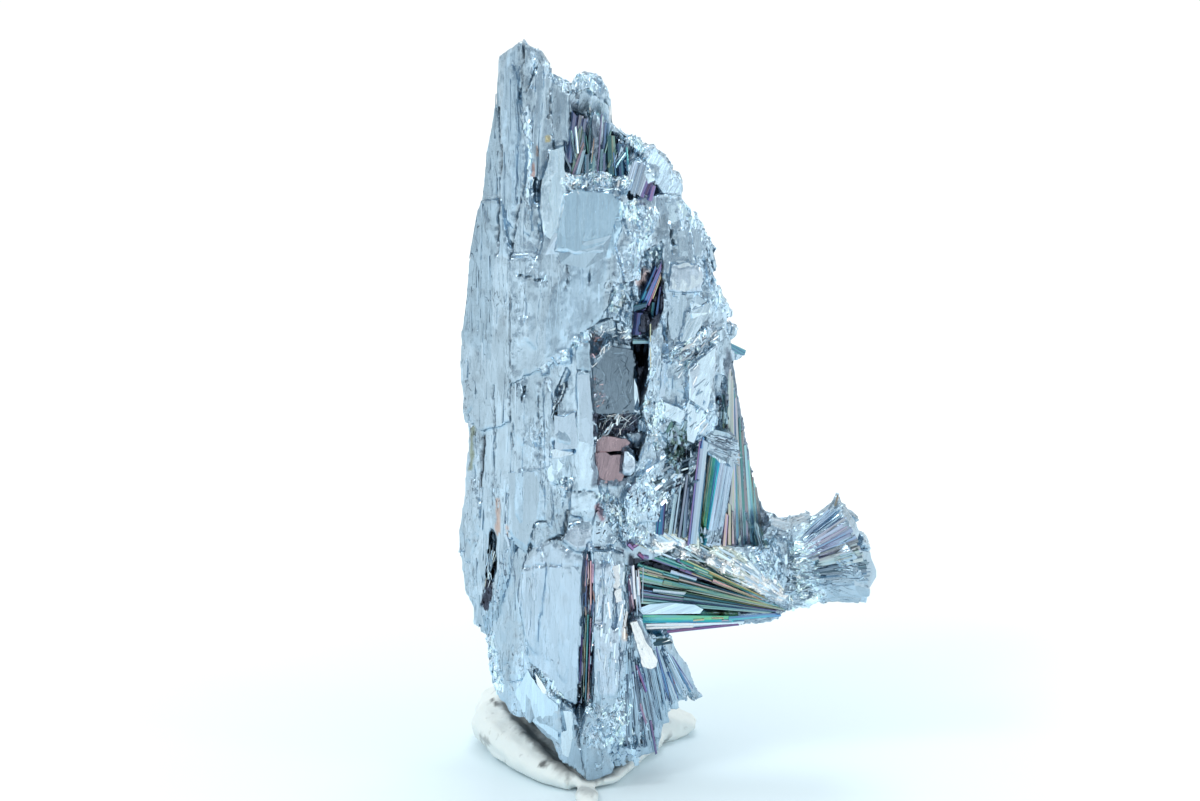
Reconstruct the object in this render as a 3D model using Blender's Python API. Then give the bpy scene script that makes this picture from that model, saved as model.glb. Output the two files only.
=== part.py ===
"""A stibnite specimen, 87 mm tall, standing upright in a pad of white mounting putty.

The stone is one intergrown mass of bladed crystals: flat cleavage sheets that run up and down,
bundled into a column, with pockets of small tarnished crystals in its front, a hackly crown, a
side arm made of a converging fan of crystals and a knob that flares out at the arm's end.  The
pad is a soft lump, pressed flat underneath, with a socket that the stone's foot stands in.

Both pieces are drawn in millimetres and turned into metres as each mesh is made.  The outlines of
the sheets are drawn in the specimen's display view, which looks down on its front by 15 degrees:
"across" and "up" are millimetres in that view, measured from the middle of the pad's underside,
and "depth" is how far back a point lies, along +Y.
"""
import math
import random

import bmesh
import bpy
from mathutils import Matrix, Vector

MM = 0.001

# The display view.
VIEW_TILT = math.radians(15.0)
VIEW_DISTANCE = 396.8
VIEW_AIM = (1.9, 43.3)

# The stone.
FLAT_ANGLE = 0.4          # degrees: faces nearer to one plane than this are one face
BLADE_LEAN = 3.0          # degrees by which the front sheets lean back
FOOT_HEIGHT = 1.2         # lowest point of the stone above the pad's underside
LUMP_SEED = 5
CUTTER_SIDE = 80.0
OPEN_DEPTH = -14.0        # the pockets' cutters start here, in front of every sheet

# The long thin blades round the column: how they are spread, from its right side round the back.
SPLINTER_SEED = 11
SPLINTER_COUNT = 34
SPLINTER_SWEEP = (-20.0, 220.0)     # degrees, from the first and on round
COLUMN_MIDDLE = (0.6, 2.2)          # across, depth
COLUMN_HALF = (12.4, 7.2)
COLUMN_NARROWING = 0.006            # share of its width lost for each mm above NARROW_FROM
NARROW_FROM = 44.0

# The knob at the arm's end: (across, up, depth) of the middle of its neck and of its rim.
KNOB_NECK = (24.2, 23.4, 0.0)
KNOB_NECK_RADIUS = 2.6
KNOB_RIM = (32.2, 25.6, -0.2)
KNOB_RIM_RADII = (4.9, 4.6)         # up, depth
KNOB_RIM_BLADES = 13
KNOB_CORE_BLADES = 5

# The putty pad.
PAD_HALF_WIDTH = 12.9
PAD_HALF_DEPTH = 13.6
PAD_MIDDLE = (0.2, 4.6)
PAD_HEIGHT = 4.0
PAD_SWELL = 0.70          # how much more it rises at the back left than at the front right
PAD_LIFT = 1.2            # height of its widest level; below it the lump is flatter
PAD_UNDER_SHARE = 0.6
PAD_LOBES = ((3, 0.045, 0.7), (5, 0.03, 2.1))     # lobes round its edge, their share and turn
PAD_POINT = 2.4           # how sharply its front narrows to a point under the stone's lowest corner
PAD_POINT_LEAST = 0.12
PAD_RIGHT_SWEEP = 0.36    # how far back its right lobe is swept, as a share of its half depth
ROLL_RADIUS = 3.0         # the thick roll squeezed out along the pad's left
NUB_MIDDLE = (0.4, -11.2, 0.2)
NUB_RADII = (1.5, 2.9, 0.9)
SOCKET_GAP = 0.6          # room round the stone's foot
SOCKET_TOP = 14.0         # how far up the socket's cutter follows the foot

ACROSS = Vector((1.0, 0.0, 0.0))
UP = Vector((0.0, math.sin(VIEW_TILT), math.cos(VIEW_TILT)))
AWAY = Vector((0.0, math.cos(VIEW_TILT), -math.sin(VIEW_TILT)))
EYE = VIEW_AIM[0] * ACROSS + VIEW_AIM[1] * UP - VIEW_DISTANCE * AWAY


def sight_point(across, up, depth):
    """The point at this depth that the display view shows at (across, up)."""
    seen = across * ACROSS + up * UP
    reach = (depth - EYE.y) / (seen.y - EYE.y)
    return EYE + reach * (seen - EYE)


def clear_scene():
    for item in list(bpy.data.objects):
        bpy.data.objects.remove(item, do_unlink=True)


def new_collection(name):
    group = bpy.data.collections.new(name)
    bpy.context.scene.collection.children.link(group)
    return group


def new_material(name, colour, roughness, metallic):
    material = bpy.data.materials.new(name)
    material.use_nodes = True
    shader = material.node_tree.nodes["Principled BSDF"]
    shader.inputs["Base Color"].default_value = (*colour, 1.0)
    shader.inputs["Roughness"].default_value = roughness
    shader.inputs["Metallic"].default_value = metallic
    return material


def mesh_object(name, mesh, matrix, group):
    item = bpy.data.objects.new(name, mesh)
    item.matrix_world = matrix
    group.objects.link(item)
    return item


def in_metres(matrix):
    """A placing in millimetres, as one in metres."""
    placed = matrix.copy()
    placed.translation = matrix.translation * MM
    return placed


def sheet(group, name, outline, depth, thick, yaw=0.0, pitch=BLADE_LEAN):
    """A flat cleavage sheet: its outline in the display view, and its thickness behind that face.

    depth is where the middle of the front face lies; yaw turns the face towards +X and pitch
    tilts it towards the sky, in degrees.
    """
    count = len(outline)
    middle = sight_point(
        sum(point[0] for point in outline) / count, sum(point[1] for point in outline) / count, depth
    )
    turn = Matrix.Rotation(math.radians(yaw), 4, "Z")
    tilt = Matrix.Rotation(math.radians(90.0 - pitch), 4, "X")
    face = Matrix.Translation(middle) @ turn @ tilt
    normal = (turn @ tilt).to_3x3() @ Vector((0.0, 0.0, 1.0))
    to_face = face.inverted()

    curve = bpy.data.curves.new(name, "CURVE")
    curve.dimensions = "2D"
    curve.fill_mode = "BOTH"
    curve.extrude = thick * MM / 2.0
    spline = curve.splines.new("POLY")
    spline.points.add(count - 1)
    spline.use_cyclic_u = True
    for knot, (across, up) in zip(spline.points, outline):
        ray = sight_point(across, up, depth) - EYE
        reach = (middle - EYE).dot(normal) / ray.dot(normal)
        flat = to_face @ (EYE + reach * ray)
        knot.co = (flat.x * MM, flat.y * MM, 0.0, 1.0)

    placed = in_metres(face @ Matrix.Translation((0.0, 0.0, -thick / 2.0)))
    return mesh_object(name, curve_mesh(curve, group), placed, group)


def curve_mesh(curve, group):
    """The closed mesh of a filled or bevelled curve, which is removed."""
    drawn = bpy.data.objects.new(curve.name, curve)
    group.objects.link(drawn)
    bpy.context.view_layer.update()
    evaluated = drawn.evaluated_get(bpy.context.evaluated_depsgraph_get())
    mesh = bpy.data.meshes.new_from_object(evaluated)
    weld(mesh)
    bpy.data.objects.remove(drawn, do_unlink=True)
    bpy.data.curves.remove(curve)
    return mesh


def weld(mesh):
    """Join a filled curve's caps to its sides and turn every face outward."""
    shape = bmesh.new()
    shape.from_mesh(mesh)
    bmesh.ops.remove_doubles(shape, verts=shape.verts, dist=0.000001)
    bmesh.ops.recalc_face_normals(shape, faces=shape.faces)
    shape.to_mesh(mesh)
    shape.free()


def crystal(group, name, root, tip, width, thick, roll=0.0, taper=0.8, slant=0.5, sides=6):
    """A flattened prism from root to tip, both (across, up, depth), with a slanted end.

    roll turns its broad face about its length, in degrees from facing the front.
    """
    start = sight_point(*root)
    end = sight_point(*tip)
    length = (end - start).length
    shape = bmesh.new()
    bmesh.ops.create_cone(
        shape,
        cap_ends=True,
        segments=sides,
        radius1=0.5,
        radius2=0.5 * taper,
        depth=length,
    )
    for vert in shape.verts:
        if vert.co.z > 0.0:
            vert.co.z += slant * vert.co.x * width
        vert.co.x *= width
        vert.co.y *= thick
        vert.co *= MM
    mesh = bpy.data.meshes.new(name)
    shape.to_mesh(mesh)
    shape.free()
    along = (end - start).normalized()
    front = Vector((0.0, -1.0, 0.0))
    side = front.cross(along).normalized()
    facing = along.cross(side)
    frame = Matrix((side, facing, along)).transposed().to_4x4()
    frame = frame @ Matrix.Rotation(math.radians(roll), 4, "Z")
    return mesh_object(name, mesh, in_metres(Matrix.Translation((start + end) / 2.0) @ frame), group)


def fan(group, name, roots, tips, count, width, thick, seed, **shape):
    """Crystals side by side: their roots and tips run evenly along two lines, a little unequal."""
    rng = random.Random(seed)
    for index in range(count):
        share = index / max(count - 1, 1)
        root = Vector(roots[0]).lerp(Vector(roots[1]), share)
        tip = Vector(tips[0]).lerp(Vector(tips[1]), share)
        tip = root.lerp(tip, rng.uniform(0.9, 1.04))
        root.z += rng.uniform(-0.3, 0.3)
        tip.z += rng.uniform(-0.4, 0.4)
        crystal(
            group,
            f"{name}_{index}",
            root,
            tip,
            width * rng.uniform(0.8, 1.25),
            thick * rng.uniform(0.8, 1.2),
            roll=rng.uniform(-25.0, 25.0),
            sides=4,
            **shape,
        )


def lumps(group, name, line, count, size, depth_spread=1.0):
    """Hackly broken crystal ends along a line of (across, up, depth) points: small turned blocks."""
    rng = random.Random(f"{name}{LUMP_SEED}")
    for index in range(count):
        place = (index + rng.random()) / count * (len(line) - 1)
        step = min(int(place), len(line) - 2)
        spot = Vector(line[step]).lerp(Vector(line[step + 1]), place - step)
        middle = sight_point(spot.x, spot.y, spot.z + rng.uniform(-0.5, 0.5) * depth_spread)
        shape = bmesh.new()
        bmesh.ops.create_cube(shape, size=1.0)
        side = size * rng.uniform(0.6, 1.2)
        scale = Vector((side, side, side * rng.uniform(1.0, 2.0))) * MM
        bmesh.ops.scale(shape, vec=scale, verts=shape.verts)
        mesh = bpy.data.meshes.new(f"{name}_{index}")
        shape.to_mesh(mesh)
        shape.free()
        turn = Matrix.Rotation(rng.uniform(-0.5, 0.5), 4, "X")
        turn = Matrix.Rotation(rng.uniform(-0.5, 0.5), 4, "Y") @ turn
        turn = Matrix.Rotation(rng.uniform(-1.5, 1.5), 4, "Z") @ turn
        mesh_object(f"{name}_{index}", mesh, in_metres(Matrix.Translation(middle) @ turn), group)


def rib(group, name, low, high, width, depth, yaw=0.0):
    """A long narrow step on a sheet, from low to high, both (across, up)."""
    (low_across, low_up), (high_across, high_up) = low, high
    shift = 0.18 * width
    outline = [
        (low_across - 0.42 * width, low_up + width),
        (low_across + 0.34 * width, low_up),
        (low_across + 0.5 * width, low_up + 2.0 * width),
        (high_across + 0.5 * width + shift, high_up - 2.0 * width),
        (high_across + 0.1 * width, high_up),
        (high_across - 0.5 * width + shift, high_up - 0.7 * width),
    ]
    sheet(group, name, outline, depth, 2.0, yaw)


def core(group):
    """The solid middle of the column, which everything else grows on."""
    sheet(group, "core_low", [(-10.5, 15), (-8.6, 9), (-4, 6), (0.4, 3), (5, 3.5), (8.6, 7), (8.6, 14),
                              (12, 21), (12, 30), (13, 42), (-11.5, 44), (-12.6, 30), (-12.8, 21)],
          -3.2, 10.5)
    sheet(group, "core_high", [(-12.4, 41), (14.2, 40), (14.4, 52), (12.5, 60), (9, 65), (3, 67),
                               (-3, 69), (-5, 77), (-9.5, 79), (-10.5, 70), (-12.3, 60)],
          -1.6, 8.2)


def left_flank(group):
    """Sheets that turn away to the left of the front face."""
    sheet(group, "flank_low", [(-13.6, 39.8), (-13.9, 37), (-14.2, 33), (-14.8, 28), (-15.1, 26),
                               (-14.8, 23.5), (-14.2, 20.5), (-13.2, 18.5), (-13.1, 16.8), (-11.7, 16),
                               (-10.6, 18), (-9.2, 22), (-8.8, 32), (-8.5, 42), (-11, 42.5)],
          -3.4, 5.5, yaw=-32)
    sheet(group, "flank_high", [(-12.5, 67), (-13.1, 63), (-13.8, 58), (-14.4, 53), (-15, 47.5),
                                (-14.9, 46), (-14.5, 43), (-14.1, 40.6), (-12.4, 39.5), (-8.5, 41),
                                (-8.7, 56), (-9, 61), (-10, 67)],
          -3.0, 6.0, yaw=-30)
    sheet(group, "flank_rib", [(-12.9, 60), (-13.9, 52), (-13.4, 44), (-12.3, 45), (-12.5, 52),
                               (-12, 60)], -2.3, 2.5, yaw=-46)
    sheet(group, "flank_strip", [(-12.6, 39), (-12.9, 34), (-13.4, 27), (-12.2, 22), (-11.6, 27),
                                 (-11.9, 34), (-12, 38.5)], -2.9, 2.0, yaw=-40)
    sheet(group, "flank_foot", [(-12.9, 18.6), (-11.7, 16), (-11.2, 12), (-10.9, 9.5), (-10.3, 7.8),
                                (-8.6, 6), (-6.3, 4.8), (-6.2, 11.6), (-7, 20), (-6.6, 27), (-9.4, 29),
                                (-10.9, 22)],
          -5.2, 7.0, yaw=-26)


def crown(group):
    """The tall blades at the top left, the slab that slopes down from them and the knob."""
    sheet(group, "crown_outer", [(-10.2, 84.2), (-10.6, 80), (-11.2, 75), (-11.6, 73.5), (-12, 71),
                                 (-12.1, 69), (-12.6, 65.5), (-12.4, 60), (-10.4, 60), (-10.3, 66),
                                 (-9.9, 71), (-9.6, 73.5), (-9.9, 79), (-9.7, 84.3)],
          -1.6, 5.0, yaw=-40)
    sheet(group, "crown_second", [(-10.2, 84.3), (-7.4, 86.3), (-7.3, 81), (-7.1, 69), (-8.4, 63),
                                  (-8.7, 59), (-10.8, 59), (-10.3, 66), (-9.9, 71), (-9.6, 73.5),
                                  (-10.1, 77)], -3.1, 5.0, yaw=-22)
    sheet(group, "crown_third", [(-7.6, 86.1), (-6.5, 85.5), (-5, 84.8), (-4.6, 83), (-5.6, 76),
                                 (-6, 70), (-5.5, 64), (-5.3, 60), (-8.7, 60), (-8.4, 63), (-7, 69.5),
                                 (-7.2, 80)], -4.1, 4.8, yaw=-8)
    sheet(group, "crown_splinter", [(-5.4, 83.4), (-4.7, 82.8), (-4.9, 78), (-5.5, 70), (-6.4, 69.6),
                                    (-6, 76)], -4.9, 2.5, yaw=4)
    sheet(group, "crown_fourth", [(-5.1, 84.6), (-4, 83.3), (-3.8, 82), (-3.9, 77), (-3.4, 72.5),
                                  (-4.8, 69), (-5.8, 70), (-5, 78)], -4.0, 4.6, yaw=12)
    sheet(group, "crown_light", [(-4, 73), (-2.4, 73.4), (-2.1, 67.4), (-3, 63.8), (-4.8, 62.8),
                                 (-5.3, 66), (-5, 69)], -5.2, 4.0, yaw=4)
    sheet(group, "slab", [(-4.2, 82.2), (-2.5, 81.3), (-1.2, 80.7), (-0.2, 79), (0.6, 77.4),
                          (-1.8, 77), (-2.2, 70), (-4.2, 70)], -1.6, 4.0, yaw=14)
    sheet(group, "knob", [(-0.9, 81.2), (-0.3, 81.9), (0.3, 82.3), (1.3, 82), (2.1, 81.4),
                          (2.8, 80.2), (3.2, 78.6), (3.1, 76), (0.6, 75.5), (-0.6, 78)],
          -0.6, 3.6, yaw=10)
    sheet(group, "knob_back", [(-0.4, 80.6), (1.6, 80.8), (2.9, 78.4), (2.8, 74.5), (-0.8, 74.5)],
          2.0, 2.6, yaw=-6)
    sheet(group, "crown_behind", [(-4, 78.5), (3, 77), (5.2, 74), (6.4, 71.5), (5.4, 66), (-4, 66)],
          2.0, 4.4)
    sheet(group, "shoulder", [(3.8, 75.3), (5.3, 74.4), (6.8, 74), (8.4, 73.2), (9.3, 72), (10.4, 70.8),
                              (11.3, 69.9), (11.8, 68.4), (11.6, 66), (8, 64), (5.3, 68), (4.6, 72)],
          0.2, 5.0, yaw=12)
    sheet(group, "shoulder_face", [(7.2, 72.3), (8.4, 73.4), (10.3, 71), (11.7, 69), (11.6, 67.6),
                                   (9.3, 67.6), (8.2, 69.5), (7.5, 71)], -1.6, 4.0, yaw=24, pitch=9)
    sheet(group, "striated_block", [(5.1, 71.4), (5.8, 71.5), (8.2, 70.3), (8.4, 69.5), (7, 67.2),
                                    (5.9, 68.2), (5, 69.9)], -3.6, 5.0, yaw=-14, pitch=-4)


def front_sheets(group):
    """The broad sheets of the front face, from the crown down to the middle."""
    sheet(group, "ledge", [(-2.4, 70.2), (1, 70.2), (5, 70), (5.3, 66), (-2.6, 66)], -4.0, 5.0,
          pitch=20)
    sheet(group, "upper_sheet", [(-2.3, 67.8), (-1.3, 68.4), (0.2, 68.2), (3.3, 68), (4.8, 67),
                                 (4.5, 64), (3.2, 61), (-1, 60.6), (-3.4, 61), (-2.7, 65)],
          -5.8, 5.0, yaw=2, pitch=5)
    sheet(group, "hackly_sheet", [(4.2, 67.4), (7, 67.3), (9.3, 67.6), (11.6, 67.4), (12.3, 66.4),
                                  (13.1, 65.6), (14, 64.6), (15.1, 62.6), (14.9, 60.6), (12, 58.5),
                                  (7, 58), (4.6, 57), (2.6, 60), (4.4, 64)],
          -4.0, 5.5, yaw=10, pitch=8)
    sheet(group, "main_sheet", [(-3.2, 62.2), (-1, 62), (3.2, 62.1), (4.2, 60), (5, 57.2), (3.2, 56.8),
                                (2.8, 54), (0.8, 52), (-1.5, 49.5), (-3, 48), (-5, 47.2), (-8.9, 45),
                                (-9, 56), (-8.8, 60.2), (-5.6, 60.2), (-4.8, 62.8)],
          -6.0, 5.0, yaw=-3)
    sheet(group, "middle_sheet", [(-9, 46), (-5, 48), (-3, 49), (-1.5, 50.2), (0.7, 51), (0.8, 46),
                                  (1.2, 41.5), (1.3, 36), (1.7, 33), (0.9, 28), (-2.2, 25), (-4.6, 25),
                                  (-6.4, 26), (-9.2, 28), (-8.8, 38)], -6.4, 5.0, yaw=-5)
    sheet(group, "bright_strip", [(-0.9, 49.3), (0.6, 50.3), (0.8, 46), (1.2, 41), (1.5, 36),
                                  (1.8, 32), (0.9, 29), (-1.5, 29.6), (-1, 36), (-0.8, 42)],
          -7.1, 4.0, yaw=6)
    sheet(group, "left_plate", [(-9, 35.4), (-5.2, 35), (-4.9, 29), (-6, 28.4), (-6.9, 25), (-9.2, 27)],
          -6.4, 4.0, yaw=-12)
    sheet(group, "small_plate", [(-3.8, 41.4), (-0.8, 41.6), (-0.9, 37.5), (-3.6, 38.4)],
          -7.0, 3.0, yaw=-8, pitch=7)
    sheet(group, "tilted_plate", [(-4, 37), (-1.4, 37.2), (-1.2, 33.6), (-3.4, 33.2)],
          -7.2, 3.0, yaw=4, pitch=-3)


def right_column(group):
    """The column of sheets to the right of the window, hackly between its smooth plates."""
    sheet(group, "column_top", [(9.7, 60.2), (12, 61), (14.8, 61), (15.4, 58.3), (16.2, 56.3),
                                (17, 54.8), (16.9, 52), (12.8, 49), (9, 49.4), (9.3, 53.5)],
          -3.8, 6.5, yaw=14)
    sheet(group, "plate_a", [(10.6, 59.5), (13.8, 59.3), (14.2, 57.5), (13.8, 56.3), (10.2, 56.3)],
          -5.2, 3.0, yaw=6)
    sheet(group, "plate_b", [(12.2, 53.7), (15, 55.2), (14.9, 53.3), (12.8, 50.5), (11.5, 50.2)],
          -5.2, 3.0, yaw=20, pitch=8)
    sheet(group, "column_middle", [(8, 52.8), (10, 50.5), (13, 51), (16.9, 52.2), (17.5, 50.4),
                                   (17.7, 48.3), (17, 44), (15.4, 39.6), (12.3, 37.6), (8, 39.6),
                                   (7, 42), (7.2, 44), (7.9, 47)], -4.8, 7.0, yaw=10)
    sheet(group, "plate_c", [(12.5, 47), (15.9, 50), (15.2, 44.5), (14.6, 42), (12.5, 43.5)],
          -6.0, 4.0, yaw=18)
    sheet(group, "plate_d", [(9.6, 43.2), (12, 42.2), (11.5, 40.3), (9.4, 41.3)], -6.1, 3.0, yaw=-8)
    sheet(group, "plate_e", [(12.2, 43), (14.5, 42), (13, 37.8), (12.2, 38.4)], -5.6, 3.0, yaw=24)
    sheet(group, "edge_rib", [(7.9, 52.6), (8.9, 53.6), (9.5, 50), (9.2, 45), (8.3, 41.5), (7.4, 43.6),
                              (7.9, 47)], -5.7, 5.0, yaw=-10)
    sheet(group, "column_low", [(1.3, 34), (4.2, 33.8), (6, 34.4), (7, 38), (7.6, 40.6), (12.3, 38.5),
                                (13.2, 36), (12.2, 28), (11, 25.6), (7, 24), (3, 23), (0.8, 25),
                                (0.8, 30)], -4.9, 7.5, yaw=7)
    sheet(group, "pale_plate", [(4.7, 37.2), (5.9, 36.6), (6.2, 35), (5.4, 34.2), (4.4, 34.4)],
          -6.2, 3.0, yaw=5)
    sheet(group, "low_plate", [(6.2, 34), (9.5, 36.5), (10, 32), (9, 29), (5.6, 28.4), (4.8, 31.6)],
          -5.8, 4.0, yaw=12)
    sheet(group, "ridge_band_high", [(10.3, 48.6), (15, 52), (15.4, 51.2), (10.6, 47.6)],
          -5.9, 3.0, yaw=14, pitch=12)
    sheet(group, "tab", [(16.2, 52.4), (17.3, 52.2), (18.2, 51.9), (18.1, 51.2), (17.5, 50.6),
                         (16, 50.4)], -1.4, 1.6, yaw=10)
    sheet(group, "teal_blade", [(16, 50.3), (17.6, 49.4), (19.2, 49.3), (19.1, 48.6), (17.4, 48),
                                (16, 47.4)], -0.4, 1.2, yaw=18)


def right_crystals(group):
    """The long prisms that stand behind and right of the column, on the arm's root."""
    sheet(group, "long_prism", [(17, 50), (17.8, 48), (18.6, 42), (19.2, 39), (20, 35), (20.6, 32),
                                (20.8, 26), (17.2, 25), (16.6, 34), (16, 44)], 0.6, 3.4, yaw=24)
    sheet(group, "long_prism_back", [(18, 41), (20, 35), (20.6, 32), (21.4, 29.8), (22.2, 28.6),
                                     (21.6, 25), (18, 25)], 2.6, 3.2, yaw=36)
    sheet(group, "dark_panel", [(15.4, 45), (17.3, 44), (17.2, 39), (15.4, 38)], -1.6, 4.0, yaw=20)
    crystal(group, "capped_prism", (15.2, 25.6, -1.4), (16.4, 38.4, -2.0), 3.6, 3.2, roll=0,
            taper=1.0, slant=0.0, sides=4)
    sheet(group, "cap", [(14.5, 39.3), (15.5, 39.8), (17.5, 39.1), (18.3, 37.7), (17.8, 36),
                         (16.4, 36.3), (15, 36.8)], -3.4, 3.6, yaw=10)
    crystal(group, "pale_prism", (13.0, 25.4, -3.4), (13.8, 37.6, -3.2), 1.5, 1.6, roll=30, slant=0.6)
    crystal(group, "thin_prism", (12.1, 25.8, -3.0), (12.7, 36.0, -2.6), 0.9, 1.4, roll=-20)
    fan(group, "column_foot", ((8.6, 26, -4.6), (11.8, 25.8, -4.0)), ((9, 31, -4.4), (11.4, 31.6, -3.8)),
        4, 0.9, 1.0, seed=3)
    fan(group, "prism_ribs", ((16.8, 25.6, -0.4), (20.4, 26, 0.8)), ((17, 42, -0.6), (19.6, 36, 0.4)),
        4, 0.9, 0.9, seed=8, taper=0.6)


def back_sheets(group):
    """The back of the column: sheets that stand in steps, turned a little each way."""
    sheet(group, "back_ridge", [(-5, 12), (3, 12), (5.4, 30), (4.4, 58), (1, 69), (-3, 71), (-6, 62),
                                (-7.4, 42), (-7, 22)], 6.2, 3.8, yaw=6, pitch=-1)
    sheet(group, "back_left", [(-11, 23), (-4, 17), (-3, 50), (-6, 68), (-9.6, 72), (-11.4, 58),
                               (-12.8, 40)], 3.6, 4.0, yaw=18, pitch=-1)
    sheet(group, "back_right", [(2, 17), (9, 20), (11.6, 26), (13.6, 44), (11.6, 56), (6, 62),
                                (2.6, 50)], 4.4, 4.0, yaw=-16, pitch=-1)
    sheet(group, "back_high", [(-9, 60), (-4, 58), (-4.6, 74), (-6.4, 81), (-8.4, 80.5)],
          2.2, 3.0, yaw=12, pitch=-2)
    rib(group, "rib_back_a", (-9.2, 34), (-8.9, 64), 1.3, 7.7, yaw=198)
    rib(group, "rib_back_b", (-6.8, 26), (-6.6, 52), 1.1, 8.35, yaw=198)
    rib(group, "rib_back_c", (-4.4, 24), (-4.2, 58), 1.4, 10.0, yaw=186)
    rib(group, "rib_back_d", (2.6, 22), (2.9, 54), 1.2, 10.75, yaw=186)
    rib(group, "rib_back_e", (6.4, 28), (6.8, 52), 1.5, 8.9, yaw=164)
    rib(group, "rib_back_f", (9.8, 30), (9.4, 50), 1.2, 7.95, yaw=164)
    sheet(group, "back_narrow", [(-2.6, 14), (1.6, 15), (2.8, 38), (0.8, 54), (-1.6, 52), (-3.2, 32)],
          8.6, 2.6, yaw=-8, pitch=0)
    sheet(group, "back_foot", [(-7.6, 6), (-2, 3.4), (4.6, 4), (7.4, 7.6), (8.6, 16), (6, 30), (-6, 30),
                               (-9.6, 20)], 1.6, 6.4, yaw=3, pitch=-2)


def foot(group):
    """The wedge that stands in the putty: a left sheet, a front ridge and a fan to the right."""
    sheet(group, "lower_sheet", [(-4.5, 26.6), (-2.4, 26.6), (-0.8, 27.6), (-0.2, 24), (-0.3, 18),
                                 (-0.5, 10), (-0.8, 7), (-2.7, 7.6), (-4, 8.6), (-6.5, 11.7), (-8, 20),
                                 (-7, 25)], -7.7, 6.0, yaw=-12)
    sheet(group, "toe_left", [(-6.5, 11.8), (-4.2, 8.7), (-1.5, 6.9), (-0.2, 3), (0.4, -2.0),
                              (-1, -0.9), (-2.8, 0.4), (-3.8, 2.7), (-6.3, 5), (-8.4, 6.4)],
          -7.4, 6.0, yaw=-20)
    sheet(group, "toe_steps", [(-5.6, 10.2), (-3.2, 7.6), (-2.6, 3.6), (-5.4, 4.8), (-7.6, 7)],
          -7.6, 3.0, yaw=-30)
    sheet(group, "toe_right", [(0.3, -2.1), (-0.4, 3), (0.9, 7.8), (1.2, 16), (1.2, 25.4), (5, 25),
                               (5.4, 16), (5, 8), (4.4, 2), (3.4, -1.0), (1.5, -1.9)],
          -8.2, 7.0, yaw=16)
    sheet(group, "toe_face", [(1.2, 16.4), (4, 16), (4.2, 9), (3, 4.6), (1.2, 6)], -9.0, 4.0, yaw=10)
    sheet(group, "pale_sheet", [(-2.4, 26.4), (-1.6, 28.2), (0.2, 29), (1.2, 28.4), (1, 25.3),
                                (-1, 25.4)], -7.9, 4.0, yaw=8, pitch=8)
    sheet(group, "foot_right", [(4.6, 16), (8.2, 15.6), (9.6, 13), (11.6, 10.6), (12.6, 8.6),
                                (11.4, 7.4), (10.2, 6.6), (9.4, 4), (9, 1.6), (5.5, 0.2), (4, 3)],
          -4.2, 6.0, yaw=26)
    sheet(group, "bright_blade", [(5.8, 17.2), (6.2, 14), (7, 11.5), (8.2, 11.3), (8.7, 12), (7.9, 15),
                                  (6.9, 17.2)], -6.9, 2.6, yaw=14, pitch=8)
    fan(group, "foot_fan", ((5.4, 15.6, -7.0), (9.6, 15.2, -3.4)), ((5.0, 0.4, -7.4), (13.2, 8.2, -1.6)),
        8, 1.6, 1.6, seed=21, taper=0.9)


def arm(group):
    """The side arm: a granular crust over a fan of crystals that draws together at its end."""
    sheet(group, "arm_crust", [(7.5, 27), (11, 27.6), (14, 26.8), (18, 26), (20.5, 25.8), (22.4, 27),
                               (24.2, 25), (24.2, 18.6), (20, 20.6), (16, 22.6), (12, 24.3), (7.5, 25)],
          -2.6, 5.0, pitch=14)
    sheet(group, "arm_heart", [(5, 25), (12, 24), (20, 20.6), (24.2, 18.4), (18.5, 17.2), (10, 16.4),
                               (5, 17)], -0.6, 3.4, yaw=2)
    fan(group, "arm_fan", ((6.4, 25.2, -3.6), (6.8, 18.8, -3.4)), ((23.4, 19.2, -3.0), (23.9, 18.0, -2.8)),
        11, 0.95, 1.1, seed=31, taper=0.6)
    fan(group, "arm_fan_back", ((6.0, 25.0, -1.4), (6.4, 17.6, -1.2)),
        ((23.0, 19.4, -1.6), (23.6, 18.2, -1.4)), 8, 1.3, 1.6, seed=33, taper=0.7)
    fan(group, "arm_under", ((5.6, 17.6, -3.4), (9.4, 16.0, -2.2)), ((23.6, 17.7, -2.8), (21.6, 17.1, -1.8)),
        4, 1.1, 1.2, seed=35, taper=0.5)
    fan(group, "arm_behind", ((8, 25, 1.6), (8, 18, 1.6)), ((23, 24, 1.2), (23, 19, 1.2)),
        5, 2.4, 2.0, seed=37, taper=0.8)
    sheet(group, "arm_lens", [(6.6, 18.3), (9, 19.3), (13, 19), (14, 18.3), (13.4, 17.9), (7, 17.8)],
          -4.1, 1.4, yaw=-3)


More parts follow.
